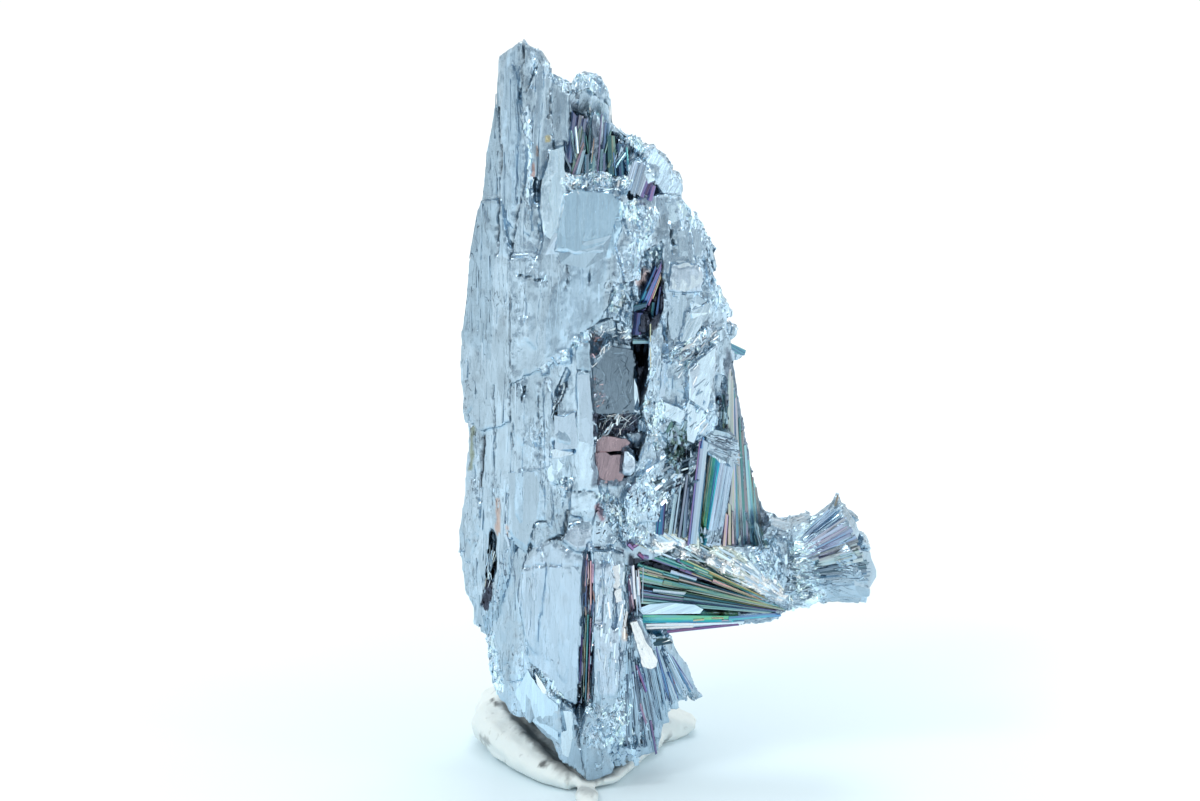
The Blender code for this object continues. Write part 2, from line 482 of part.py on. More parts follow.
def knob(group):
    """The knob at the arm's end: a sheaf of crystals that flares out to a broken end face."""
    sheet(group, "knob_neck", [(21.6, 27.6), (22.4, 28.4), (24.3, 27.8), (26, 28.2), (27.5, 28.6),
                               (28.6, 24), (27.6, 19.4), (26.6, 18.6), (25, 18.3), (23.3, 17.9),
                               (21.4, 19.4), (21, 24)], -3.2, 7.0, yaw=4)
    rng = random.Random(41)
    for index in range(KNOB_RIM_BLADES):
        angle = 2.0 * math.pi * index / KNOB_RIM_BLADES
        high = math.sin(angle)
        deep = math.cos(angle)
        reach = rng.uniform(-0.5, 0.7)
        root = (
            KNOB_NECK[0],
            KNOB_NECK[1] + KNOB_NECK_RADIUS * high,
            KNOB_NECK[2] - KNOB_NECK_RADIUS * deep,
        )
        tip = (
            KNOB_RIM[0] + reach - 1.3 * high,
            KNOB_RIM[1] + KNOB_RIM_RADII[0] * high,
            KNOB_RIM[2] - KNOB_RIM_RADII[1] * deep,
        )
        crystal(group, f"knob_blade_{index}", root, tip, 3.1, 2.4, roll=rng.uniform(-30, 30),
                taper=1.15, slant=rng.uniform(-0.4, 0.4), sides=5)
    for index in range(KNOB_CORE_BLADES):
        angle = 1.3 * index
        spread = 1.5 + 0.3 * index
        high = spread * math.sin(angle)
        deep = spread * math.cos(angle)
        root = (KNOB_NECK[0] + 3.0, KNOB_NECK[1] + 0.5 * high, KNOB_NECK[2] + 0.5 * deep)
        tip = (KNOB_RIM[0] + rng.uniform(0.4, 1.7), KNOB_RIM[1] + high, KNOB_RIM[2] + deep)
        crystal(group, f"knob_core_{index}", root, tip, 2.6, 2.6, taper=1.0,
                slant=rng.uniform(-0.5, 0.5), sides=4)
    crystal(group, "knob_heart", (23.6, 23.4, 0.0), (32.4, 25.4, -0.2), 7.0, 6.6, taper=1.2,
            slant=-0.25, sides=8)
    crystal(group, "knob_spike", (28.4, 28.0, -1.6), (30.2, 32.0, -1.8), 1.5, 1.3, taper=0.35)
    sheet(group, "upright_blade_a", [(22.7, 22.6), (22.8, 27), (23.2, 27.4), (23.4, 22.6)],
          -4.2, 2.0, yaw=12)
    sheet(group, "upright_blade_b", [(23.5, 22.4), (23.6, 26.4), (24.1, 26.8), (24.3, 22.4)],
          -4.4, 2.0, yaw=-10)


def pocket_crystals(group):
    """The small tarnished crystals that stand in the crown's pocket and in the long pocket."""
    fan(group, "pocket_left", ((-1.6, 70.2, -1.8), (0.2, 70.0, -2.2)),
        ((-1.5, 77.0, -1.4), (0.3, 76.2, -1.6)), 5, 0.75, 0.8, seed=51, slant=0.9)
    crystal(group, "pocket_main", (1.2, 69.8, -2.6), (1.6, 77.2, -2.2), 1.4, 1.3, roll=12, taper=0.95,
            slant=1.0)
    fan(group, "pocket_right", ((2.2, 69.8, -2.0), (3.6, 69.8, -2.2)), ((2.4, 76.4, -1.2), (3.3, 74.6, -1.8)),
        3, 0.8, 0.9, seed=53, slant=0.9)
    crystal(group, "long_pocket_blade", (6.8, 54.0, -2.6), (9.4, 60.0, -3.4), 1.2, 1.0, roll=20,
            taper=0.5)
    fan(group, "long_pocket_row", ((6.6, 50.6, -2.2), (8.6, 51.6, -2.2)),
        ((7.2, 57.6, -2.2), (9.0, 58.6, -2.6)), 3, 0.9, 1.0, seed=55)
    sheet(group, "dark_block", [(5.5, 51.6), (7.4, 51.7), (7.5, 53.6), (5.7, 53.5)], -4.2, 4.0, yaw=-12)
    sheet(group, "window_ridge", [(3, 50.6), (3.4, 49.8), (1.4, 47.4), (0.4, 47.2)], -4.4, 4.0, yaw=4)
    sheet(group, "window_panel", [(0.5, 47.6), (3.2, 50.4), (5.7, 49.8), (5.8, 42), (0.9, 41.9)],
          -3.2, 3.0, yaw=5, pitch=5)
    sheet(group, "window_band", [(1, 41.7), (6.8, 41.8), (6.6, 39.6), (1, 39.2)], -2.7, 2.4, yaw=-4)
    sheet(group, "window_step_high", [(1, 38.4), (2.3, 39), (5, 38.7), (5.6, 38), (4.5, 37.3), (1, 37.3)],
          -3.4, 3.0, pitch=-8)
    sheet(group, "window_step_low", [(1, 37), (4.5, 36.7), (5.2, 35.6), (5, 33), (1, 33)],
          -3.6, 3.2, yaw=-5, pitch=6)


def hackly_edges(group):
    """Broken crystal ends along the specimen's granular bands and edges."""
    lumps(group, "ledge_grain", [(-2.2, 69.4, -4.0), (1, 69.4, -4.2), (5, 69.0, -3.8)], 6, 1.0)
    lumps(group, "knob_grain", [(-0.6, 80.4, -0.2), (0.2, 81.5, 0.6), (1.6, 81.1, 1.2), (2.8, 79.2, 0.8)],
          6, 1.1, 2.0)
    lumps(group, "slab_grain", [(-3.8, 81.5, -0.4), (-1.4, 80.1, -0.2), (0.2, 77.8, 0)], 4, 0.9, 1.6)
    lumps(group, "shoulder_grain", [(3.8, 75.0, 0.8), (6.4, 73.8, 0.8), (8.4, 72.8, 1.2), (10.4, 70.4, 1.4),
                                    (11.5, 68.2, 1.2)], 9, 1.2, 2.0)
    lumps(group, "hackly_grain", [(5, 66.6, -4.0), (8, 65.6, -3.9), (7, 63, -4.3), (5, 61.4, -4.6),
                                  (8.4, 60.8, -4.0), (11.6, 65, -2.8)], 11, 1.2)
    lumps(group, "right_edge_grain", [(11.8, 66.0, -0.8), (14.0, 63.2, -1.0), (14.7, 60.6, -0.8),
                                      (16.0, 56, -0.6), (16.6, 53, -0.6)], 9, 1.2, 1.8)
    lumps(group, "band_grain", [(0.6, 51.2, -6.0), (-1.6, 49.0, -6.3), (-4.6, 47.0, -6.1)], 5, 0.9)
    lumps(group, "column_grain", [(8.4, 43.4, -5.0), (9.4, 40.8, -5.0), (11.4, 38.4, -4.9), (10.8, 36, -4.5),
                                  (8, 37.6, -4.8)], 8, 1.2)
    lumps(group, "arm_grain", [(9, 26.6, -1.6), (13, 26.0, -1.8), (18, 24.8, -1.8), (21.4, 24.4, -2.0),
                               (18, 22.6, -2.8), (13, 24.2, -3.0), (9, 25.0, -3.2)], 13, 1.3, 1.4)
    lumps(group, "neck_grain", [(24.2, 27.2, -1.4), (25.6, 25, -2.8), (25.6, 21, -2.8), (26.6, 19.4, -1.2)],
          6, 1.4, 1.6)
    lumps(group, "toe_grain", [(0.9, 6.2, -8.5), (3, 4.4, -8.5), (4.6, 5.6, -7.5)], 5, 1.0)
    lumps(group, "cap_grain", [(15, 38.8, -2.6), (16.4, 38.4, -3.0), (17.6, 37.6, -2.2)], 3, 1.0)
    lumps(group, "lower_grain", [(2, 31, -5.0), (4, 28.6, -5.2), (6.4, 27, -4.8), (2.6, 26.4, -6.3)],
          6, 1.2)


def ribs(group):
    """The steps that run up and down the front sheets, each standing a little proud."""
    rib(group, "rib_crown_left", (-8.7, 64), (-8.5, 83.5), 0.9, -3.75, yaw=-22)
    rib(group, "rib_crown_right", (-6.7, 62.5), (-6.5, 81), 0.7, -4.6, yaw=-8)
    rib(group, "rib_flank_high", (-10.8, 45), (-10.2, 64.5), 1.0, -4.0, yaw=-30)
    rib(group, "rib_flank_low", (-11.7, 27), (-11.3, 41.5), 1.1, -3.8, yaw=-32)
    rib(group, "rib_main_left", (-8.1, 47.5), (-7.9, 59), 1.1, -5.75, yaw=-6)
    rib(group, "rib_main_middle", (-6.4, 49.5), (-6.3, 59), 1.2, -6.25, yaw=-4)
    rib(group, "rib_main_right", (-2.7, 50.5), (-2.6, 60.6), 1.3, -6.15, yaw=-2)
    rib(group, "rib_middle_left", (-7.9, 29), (-7.8, 45), 0.8, -6.35, yaw=-10)
    rib(group, "rib_middle_right", (-4.3, 28), (-4.4, 46), 0.9, -6.75, yaw=-4)
    rib(group, "rib_lower_left", (-6.1, 13), (-5.5, 25.5), 1.1, -7.55, yaw=-14)
    rib(group, "rib_lower_right", (-2.5, 9.5), (-2.0, 25), 1.0, -8.1, yaw=-10)
    rib(group, "rib_toe", (2.4, 7), (2.8, 24), 0.9, -8.75, yaw=14)
    rib(group, "rib_toe_right", (3.9, 9), (4.3, 21), 0.7, -8.35, yaw=20)
    rib(group, "rib_column", (11.2, 44.5), (13.0, 58), 0.9, -4.7, yaw=10)
    rib(group, "rib_column_low", (10.6, 29), (10.9, 37), 0.8, -5.0, yaw=8)


def splinters(group):
    """Long thin blades scattered over the sides and back, as the column's ribs."""
    rng = random.Random(SPLINTER_SEED)
    for index in range(SPLINTER_COUNT):
        share = (index + rng.uniform(0.2, 0.8)) / SPLINTER_COUNT
        angle = math.radians(SPLINTER_SWEEP[0] + SPLINTER_SWEEP[1] * share)
        low = rng.uniform(14.0, 44.0)
        if angle > math.radians(120.0):
            low = max(low, 27.0)
        high = low + rng.uniform(14.0, 30.0)
        narrowing = 1.0 - COLUMN_NARROWING * max(high - NARROW_FROM, 0.0)
        half_wide = COLUMN_HALF[0] * narrowing
        half_deep = COLUMN_HALF[1] * narrowing
        across = COLUMN_MIDDLE[0] - half_wide * math.cos(angle) * rng.uniform(0.97, 1.03)
        depth = COLUMN_MIDDLE[1] + half_deep * math.sin(angle) * rng.uniform(0.97, 1.05)
        lean = rng.uniform(-0.8, 0.8)
        crystal(
            group,
            f"splinter_{index}",
            (across - lean, low, depth),
            (across + lean, min(high, 66.0 - 1.0 * max(across, 0.0)), depth),
            rng.uniform(1.4, 3.2),
            rng.uniform(1.0, 2.0),
            roll=math.degrees(angle) + 90.0 + rng.uniform(-14, 14),
            taper=rng.uniform(0.5, 0.95),
            slant=rng.uniform(-1.0, 1.0),
            sides=4,
        )


def pockets(group):
    """The cutters of the specimen's open pockets and slits: each reaches back to its own floor."""
    made = []

    def cut(name, outline, floor):
        made.append(sheet(group, name, outline, OPEN_DEPTH, floor - OPEN_DEPTH, pitch=0.0))

    cut("window", [(0.8, 49.6), (3.2, 49.9), (5.9, 49.2), (6.0, 46), (6.5, 44), (6.5, 41.8), (6.1, 38.6),
                   (4.6, 36.9), (4.9, 35), (4.2, 33.9), (1.7, 33.7), (1.4, 37), (1.3, 41.6)], -1.6)
    cut("window_slit", [(6, 50), (7.8, 50.8), (7.6, 47), (7.2, 44.4), (6.9, 43.2), (6.4, 45), (5.8, 46.4)],
        2.2)
    cut("crown_pocket", [(-2, 77.3), (0.5, 77.8), (2.9, 75.8), (4, 74.8), (5.3, 73.2), (5, 70.8),
                         (1, 70.4), (-1.7, 70.4)], 1.2)
    cut("long_pocket", [(7, 58.5), (9.8, 60), (9.4, 53.5), (8.4, 51.2), (6.3, 51.2), (5.4, 52.3),
                        (5.7, 53.6), (6.5, 55.2), (6.5, 56.8)], -1.8)
    cut("top_slit", [(10.2, 63.9), (10.6, 63.6), (10.9, 61.8), (10.9, 60.6), (10.5, 60.7), (10.4, 62)], -1.0)
    cut("flank_slit", [(-11.4, 25.6), (-10.9, 24), (-10.8, 20), (-11.2, 18), (-12.1, 18.8), (-11.8, 21.4)],
        1.4)
    cut("foot_groove", [(-0.2, 18.2), (1.1, 17.5), (1.1, 13), (0.7, 8), (-0.8, 6.4), (-0.6, 10),
                        (-0.4, 14)], -6.2)
    cut("upper_groove", [(0, 24.6), (1.1, 24.4), (1.2, 19), (0, 19)], -6.4)
    cut("arm_gap", [(8, 15.1), (9.8, 15.3), (10.2, 14.4), (9.1, 13.9)], -2.0)
    cut("gash", [(-2.1, 45.4), (-1.6, 44.4), (-3.1, 41.4), (-3.7, 41.3), (-3.4, 42.6)], -5.0)
    cut("left_gash", [(-7.4, 44.8), (-7.0, 44.9), (-7.0, 43.3), (-7.4, 43.1)], -4.0)
    cut("side_pocket", [(12.1, 34.8), (12.9, 35), (12.4, 28.4), (11.7, 28.4)], -2.4)
    cut("dark_panel_pocket", [(15.9, 43.8), (17.2, 43.4), (17.2, 40), (15.9, 39.9)], -1.0)
    return made


def boolean(target, kind, operand_group):
    """Apply one exact Boolean of a whole collection to the target."""
    step = target.modifiers.new(kind.lower(), "BOOLEAN")
    step.operation = kind
    step.operand_type = "COLLECTION"
    step.collection = operand_group
    step.solver = "EXACT"
    step.use_self = kind == "UNION"
    apply_modifiers(target)


def apply_modifiers(target):
    bpy.context.view_layer.update()
    evaluated = target.evaluated_get(bpy.context.evaluated_depsgraph_get())
    mesh = bpy.data.meshes.new_from_object(evaluated)
    target.modifiers.clear()
    old = target.data
    target.data = mesh
    bpy.data.meshes.remove(old)


def empty_group(group):
    """Remove the blanks that have been joined into a solid."""
    for item in list(group.objects):
        bpy.data.objects.remove(item, do_unlink=True)


def keep_largest(mesh):
    """Drop whatever isn't part of the one outer skin: sealed hollows and crumbs of no size."""
    shape = bmesh.new()
    shape.from_mesh(mesh)
    left = set(shape.faces)
    skins = []
    while left:
        seed = left.pop()
        skin = [seed]
        for face in skin:
            for edge in face.edges:
                for other in edge.link_faces:
                    if other in left:
                        left.remove(other)
                        skin.append(other)
        skins.append(skin)
    skins.sort(key=len)
    for skin in skins[:-1]:
        bmesh.ops.delete(shape, geom=skin, context="FACES")
    bmesh.ops.dissolve_limit(
        shape, angle_limit=math.radians(FLAT_ANGLE), verts=shape.verts, edges=shape.edges
    )
    bmesh.ops.triangulate(shape, faces=shape.faces)
    shape.to_mesh(mesh)
    shape.free()


def below_level(group, name, level):
    """The cutter for everything lower than this level above the pad's underside."""
    shape = bmesh.new()
    bmesh.ops.create_cube(shape, size=1.0)
    bmesh.ops.scale(shape, vec=Vector((CUTTER_SIDE,) * 3) * MM, verts=shape.verts)
    mesh = bpy.data.meshes.new(name)
    shape.to_mesh(mesh)
    shape.free()
    place = Matrix.Translation((0.0, 0.0, level - CUTTER_SIDE / 2.0))
    return mesh_object(name, mesh, in_metres(place), group)


def stibnite(parts, blanks, cutters, pocket_blanks):
    core(blanks)
    stone = blanks.objects["core_low"]
    blanks.objects.unlink(stone)
    parts.objects.link(stone)
    stone.name = "stibnite"
    stone.data.name = "stibnite"
    left_flank(blanks)
    crown(blanks)
    front_sheets(blanks)
    right_column(blanks)
    right_crystals(blanks)
    back_sheets(blanks)
    foot(blanks)
    arm(blanks)
    knob(blanks)
    hackly_edges(blanks)
    ribs(blanks)
    splinters(blanks)
    boolean(stone, "UNION", blanks)
    pockets(cutters)
    below_level(cutters, "foot_level", FOOT_HEIGHT)
    boolean(stone, "DIFFERENCE", cutters)
    pocket_crystals(pocket_blanks)
    boolean(stone, "UNION", pocket_blanks)
    keep_largest(stone.data)
    empty_group(blanks)
    empty_group(pocket_blanks)
    stone.data.materials.clear()
    stone.data.materials.append(new_material("stibnite_metal", (0.50, 0.58, 0.63), 0.32, 1.0))
    return stone


def socket_cutter(stone, group):
    """The stone's foot as one rounded-off hull, grown by the gap that the socket keeps."""
    shape = bmesh.new()
    shape.from_mesh(stone.data)
    shape.transform(stone.matrix_world)
    high = [vert for vert in shape.verts if vert.co.z > SOCKET_TOP * MM]
    bmesh.ops.delete(shape, geom=high, context="VERTS")
    hull = bmesh.ops.convex_hull(shape, input=shape.verts)
    spare = set(hull["geom_interior"] + hull["geom_unused"] + hull["geom_holes"])
    bmesh.ops.delete(shape, geom=[item for item in spare if isinstance(item, bmesh.types.BMVert)],
                     context="VERTS")
    faces = set(item for item in hull["geom"] if isinstance(item, bmesh.types.BMFace))
    loose = [face for face in shape.faces if face not in faces]
    bmesh.ops.delete(shape, geom=loose, context="FACES")
    bmesh.ops.dissolve_limit(shape, angle_limit=math.radians(8.0), verts=shape.verts, edges=shape.edges)
    bmesh.ops.triangulate(shape, faces=shape.faces)
    bmesh.ops.recalc_face_normals(shape, faces=shape.faces)
    shape.normal_update()
    for vert in shape.verts:
        vert.co += vert.normal * SOCKET_GAP * MM
    mesh = bpy.data.meshes.new("socket")
    shape.to_mesh(mesh)
    shape.free()
    return mesh_object("socket", mesh, Matrix.Identity(4), group)


def pad_blank(group):
    """The putty before the stone is pressed in: a low lump, higher at the back left, flat below."""
    shape = bmesh.new()
    bmesh.ops.create_uvsphere(shape, u_segments=22, v_segments=10, radius=1.0)
    for vert in shape.verts:
        round_about = math.atan2(vert.co.y, vert.co.x)
        wobble = 1.0
        for lobes, share, turn in PAD_LOBES:
            wobble += share * math.sin(lobes * round_about + turn)
        rise = 1.0 + PAD_SWELL * 0.5 * (vert.co.y - vert.co.x)
        height = PAD_HEIGHT * (rise if vert.co.z > 0.0 else PAD_UNDER_SHARE) * vert.co.z
        if vert.co.y < 0.0:
            vert.co.y *= max(PAD_POINT_LEAST, 1.0 - PAD_POINT * abs(vert.co.x) ** 3)
        vert.co.y += PAD_RIGHT_SWEEP * max(vert.co.x, 0.0) ** 2
        vert.co.x = PAD_MIDDLE[0] + vert.co.x * PAD_HALF_WIDTH * wobble
        vert.co.y = PAD_MIDDLE[1] + vert.co.y * PAD_HALF_DEPTH * wobble
        vert.co.z = height + PAD_LIFT
        vert.co *= MM
    mesh = bpy.data.meshes.new("putty")
    shape.to_mesh(mesh)
    shape.free()
    return mesh_object("putty", mesh, Matrix.Identity(4), group)


def pad_roll(group):
    """The thick roll of putty squeezed out along the left, thinning towards the front."""
    route = [(-6.4, 14.6, 1.8, 0.6), (-10.4, 9.6, 3.3, 1.05), (-10.6, 5.6, 3.0, 1.0),
             (-9.2, 1.4, 2.7, 0.92), (-6.8, -2.6, 2.3, 0.8), (-4.0, -6.0, 1.6, 0.62),
             (-1.2, -8.2, 1.1, 0.45)]
    curve = bpy.data.curves.new("roll", "CURVE")
    curve.dimensions = "3D"
    curve.bevel_depth = ROLL_RADIUS * MM
    curve.bevel_resolution = 2
    curve.use_fill_caps = True
    spline = curve.splines.new("POLY")
    spline.points.add(len(route) - 1)
    for knot, (x, y, z, swell) in zip(spline.points, route):
        knot.co = (x * MM, y * MM, z * MM, 1.0)
        knot.radius = swell
    return mesh_object("roll", curve_mesh(curve, group), Matrix.Identity(4), group)


def pad_nub(group):
    """A smear of putty on the table in front of the stone's lowest corner."""
    shape = bmesh.new()
    bmesh.ops.create_uvsphere(shape, u_segments=12, v_segments=8, radius=1.0)
    bmesh.ops.scale(shape, vec=Vector(NUB_RADII) * MM, verts=shape.verts)
    mesh = bpy.data.meshes.new("nub")
    shape.to_mesh(mesh)
    shape.free()
    return mesh_object("nub", mesh, in_metres(Matrix.Translation(NUB_MIDDLE)), group)


def putty(parts, stone, blanks, pad_cutters):
    pad = pad_blank(parts)
    pad_roll(blanks)
    pad_nub(blanks)
    boolean(pad, "UNION", blanks)
    socket_cutter(stone, pad_cutters)
    below_level(pad_cutters, "table_top", 0.0)
    boolean(pad, "DIFFERENCE", pad_cutters)
    keep_largest(pad.data)
    empty_group(blanks)
    pad.data.shade_smooth()
    pad.data.set_sharp_from_angle(angle=math.radians(50.0))
    pad.data.materials.clear()
    pad.data.materials.append(new_material("putty_white", (0.80, 0.80, 0.74), 0.75, 0.0))
    return pad


def main():
    clear_scene()
    parts = new_collection("stibnite_specimen")
    blanks = new_collection("blanks")
    pocket_blanks = new_collection("pocket_blanks")
    stone_cutters = new_collection("stone_cutters")
    pad_cutters = new_collection("pad_cutters")
    stone = stibnite(parts, blanks, stone_cutters, pocket_blanks)
    putty(parts, stone, blanks, pad_cutters)
    for cutter in list(stone_cutters.objects) + list(pad_cutters.objects):
        cutter.hide_render = True
        cutter.display_type = "WIRE"


main()
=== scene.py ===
import math
from itertools import product

import bmesh
import bpy
import numpy as np
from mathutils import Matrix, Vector


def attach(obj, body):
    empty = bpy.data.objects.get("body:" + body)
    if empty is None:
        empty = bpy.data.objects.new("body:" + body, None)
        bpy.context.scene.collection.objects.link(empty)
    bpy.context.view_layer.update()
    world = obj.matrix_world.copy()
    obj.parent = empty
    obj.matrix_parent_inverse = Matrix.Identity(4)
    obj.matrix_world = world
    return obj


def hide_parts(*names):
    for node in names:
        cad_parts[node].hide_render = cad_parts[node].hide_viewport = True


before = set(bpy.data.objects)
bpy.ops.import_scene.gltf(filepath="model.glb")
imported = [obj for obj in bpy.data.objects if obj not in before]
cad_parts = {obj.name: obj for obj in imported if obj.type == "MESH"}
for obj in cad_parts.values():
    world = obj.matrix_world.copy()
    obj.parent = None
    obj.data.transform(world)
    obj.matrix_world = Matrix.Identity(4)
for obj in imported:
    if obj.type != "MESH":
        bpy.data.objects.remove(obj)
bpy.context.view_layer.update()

MM = 0.001

# The display view, the same as in the CAD: across and up are mm in it, from the pad's middle.
VIEW_TILT = math.radians(15.0)
VIEW_DISTANCE = 396.8
VIEW_AIM = (1.905, 43.27)
LENS = 100.0
SENSOR = 36.0

ACROSS = np.array([1.0, 0.0, 0.0])
UP = np.array([0.0, math.sin(VIEW_TILT), math.cos(VIEW_TILT)])
AWAY = np.array([0.0, math.cos(VIEW_TILT), -math.sin(VIEW_TILT)])
EYE = VIEW_AIM[0] * ACROSS + VIEW_AIM[1] * UP - VIEW_DISTANCE * AWAY

SKIN_VOXEL = 0.22
SKIN_CREASE = 30.0        # degrees; sharper edges of the skin are creases
SMOOTH_BELOW = 0.42       # the grain from which the skin's faces are flat
FOOT = 1.2                # the stone's lowest point
PUTTY_VOXEL = 0.40
PUTTY_LOBE = (9.6, 1.2)   # where the pad bulges most at the stone's right
PIECE_LIMIT = 190000      # triangles in one piece
CRYSTAL_GRAIN = 0.03
CHIPS_FROM = 2.5          # no chips stand lower than this on the stone
PLATE_THICK = 0.6
PLATE_STEP = 0.45         # a plate's ragged edge: mm between its corners, and how far each is off
PLATE_JOG = 0.05
PLATE_SPOTS = 150         # places at which a plate feels for the skin
CELL_PRIMES = (73856093, 19349663, 83492791)

# Where the crystals of the arm draw together, and where those of the knob spread from: a place to
# the left of its hub. The turns are mm for each radian round them.
ARM_TIP = np.array([24.3, 18.2])
ARM_END = 24.2
ARM_TURN = 11.0
KNOB_HUB = np.array([24.5, 24.6])
KNOB_SET_BACK = 3.0
KNOB_TURN = 10.0

# Linear colours of the stone's lustre and tarnish, with one of painted shade.
TINTS = {
    "steel": (0.40, 0.52, 0.62),
    "dull": (0.34, 0.46, 0.56),
    "blue": (0.40, 0.54, 0.66),
    "deep": (0.46, 0.65, 0.80),
    "pale": (0.60, 0.76, 0.88),
    "mist": (0.45, 0.575, 0.69),
    "lilac": (0.50, 0.61, 0.72),
    "bright": (0.70, 0.82, 0.90),
    "white": (0.93, 0.97, 1.00),
    "grey": (0.25, 0.34, 0.42),
    "slate": (0.20, 0.26, 0.33),
    "rust": (0.60, 0.45, 0.48),
    "pearl": (0.52, 0.67, 0.79),
    "sheen": (0.66, 0.84, 0.96),
    "sky": (0.49, 0.68, 0.82),
    "shade": (0.185, 0.255, 0.32),
    # Painted shade: a near-black tint for slits, pockets and the gaps between crystals.
    "dark": (0.05, 0.06, 0.085),
    "green_grey": (0.13, 0.19, 0.18),
    "straw": (0.58, 0.62, 0.56),
}


# ---------------------------------------------------------------- places in the display view

def sight_point(across, up, depth):
    """The point at this depth that the display view shows at (across, up)."""
    seen = across * ACROSS + up * UP
    reach = (depth - EYE[1]) / (seen[1] - EYE[1])
    return EYE + reach * (seen - EYE)


def seen_at(points):
    """(across, up) in the display view of each point."""
    from_eye = points - EYE
    flat = EYE + from_eye * (VIEW_DISTANCE / (from_eye @ AWAY))[:, None]
    return flat @ ACROSS, flat @ UP


def edge_distance(across, up, outline, closed=True):
    """Distance to an outline, in mm, and whether each place is inside it."""
    corners = np.array(outline, float)
    nearest = np.full(len(across), 1e9)
    inside = np.zeros(len(across), bool)
    count = len(corners)
    for index in range(count if closed else count - 1):
        ax, ay = corners[index]
        bx, by = corners[(index + 1) % count]
        dx, dy = bx - ax, by - ay
        share = np.clip(((across - ax) * dx + (up - ay) * dy) / (dx * dx + dy * dy), 0.0, 1.0)
        gap = np.hypot(across - ax - share * dx, up - ay - share * dy)
        nearest = np.minimum(nearest, gap)
        if closed and by != ay:
            crosses = (ay > up) != (by > up)
            inside ^= crosses & (across < dx * (up - ay) / (by - ay) + ax)
    return nearest, inside


def smooth_step(value, low, high):
    share = np.clip((value - low) / (high - low), 0.0, 1.0)
    return share * share * (3.0 - 2.0 * share)


def near_line(across, up, line, full, none):
    """1 within the first distance of a line, fading to 0 at the second."""
    return 1.0 - smooth_step(edge_distance(across, up, line, closed=False)[0], full, none)


def between(first, second, share):
    """The place at this share of the way from one place to another."""
    return np.asarray(first) + (np.asarray(second) - first) * share


def shortened(root, tip, start, end):
    """The ends of a line less these shares of its length."""
    return root + (tip - root) * start, tip - (tip - root) * end


def along_line(line, share):
    """The point at this share of a line of points."""
    place = share * (len(line) - 1)
    step = min(int(place), len(line) - 2)
    first, second = np.array(line[step], float), np.array(line[step + 1], float)
    return first + (second - first) * (place - step)


def from_knob(across, up):
    """How far across and up each place is from where the knob's crystals spread from."""
    return across - KNOB_HUB[0] + KNOB_SET_BACK, up - KNOB_HUB[1]


# ---------------------------------------------------------------- noise

def random_share(cells, seed):
    """A number from 0 to 1 for each cell, given by three whole numbers."""
    with np.errstate(over="ignore"):
        n = np.uint32((seed * 2654435761) % 4294967296)
        for axis, prime in enumerate(CELL_PRIMES):
            n = n ^ cells[:, axis].astype(np.uint32) * np.uint32(prime)
        n = (n ^ (n >> np.uint32(15))) * np.uint32(2246822519)
        n = (n ^ (n >> np.uint32(13))) * np.uint32(3266489917)
        n ^= n >> np.uint32(16)
    return n.astype(np.float64) / 4294967296.0


def noise(points, size, seed):
    """Smooth noise from -1 to 1 with lumps of this size (one number, or one for each axis)."""
    place = points / np.asarray(size, float)
    cell = np.floor(place).astype(np.int64)
    part = place - cell
    part = part * part * (3.0 - 2.0 * part)
    total = np.zeros(len(points))
    for corner in product((0, 1), repeat=3):
        weight = 1.0
        for axis, far in enumerate(corner):
            weight = weight * (part[:, axis] if far else 1.0 - part[:, axis])
        total += weight * random_share(cell + corner, seed)
    return 2.0 * total - 1.0


def facets(points, size, tilt, step, seed):
    """Height of a surface broken into flat facets, each with its own tilt and step.

    Returns the height, the distance to the facet's border as a share of its size, and a number
    from 0 to 1 for each facet.
    """
    scale = np.asarray(size, float) * np.ones(3)
    place = points / scale
    cell = np.floor(place).astype(np.int64)
    best = np.full(len(points), 1e9)
    second = np.full(len(points), 1e9)
    owner = np.zeros((len(points), 3), np.int64)
    middle = np.zeros((len(points), 3))
    for offset in product((-1, 0, 1), repeat=3):
        near = cell + offset
        spot = near + np.stack([random_share(near, seed + axis) for axis in (1, 2, 3)], axis=1)
        gap = ((spot - place) ** 2).sum(axis=1)
        closer = gap < best
        second = np.where(closer, best, np.minimum(second, gap))
        best = np.where(closer, gap, best)
        owner[closer] = near[closer]
        middle[closer] = spot[closer]
    away = (place - middle) * scale
    height = np.zeros(len(points))
    for axis in range(3):
        slope = 2.0 * random_share(owner, seed + 7 + axis) - 1.0
        height += slope * tilt * away[:, axis]
    mark = random_share(owner, seed + 11)
    height += step * (2.0 * mark - 1.0)
    return height, np.sqrt(second) - np.sqrt(best), mark


# ---------------------------------------------------------------- meshes

def rows(items, name, width=1, kind=np.float32):
    """One property of a mesh's points, corners or faces, in rows of this width."""
    values = np.empty(len(items) * width, kind)
    items.foreach_get(name, values)
    return values.reshape(-1, width) if width > 1 else values


def mesh_arrays(mesh):
    """A mesh's points, in mm, and their normals."""
    points = rows(mesh.vertices, "co", 3).astype(float) / MM
    return points, rows(mesh.vertex_normals, "vector", 3).astype(float)


def in_scene(name, data):
    """A new object in the scene."""
    item = bpy.data.objects.new(name, data)
    bpy.context.scene.collection.objects.link(item)
    return item


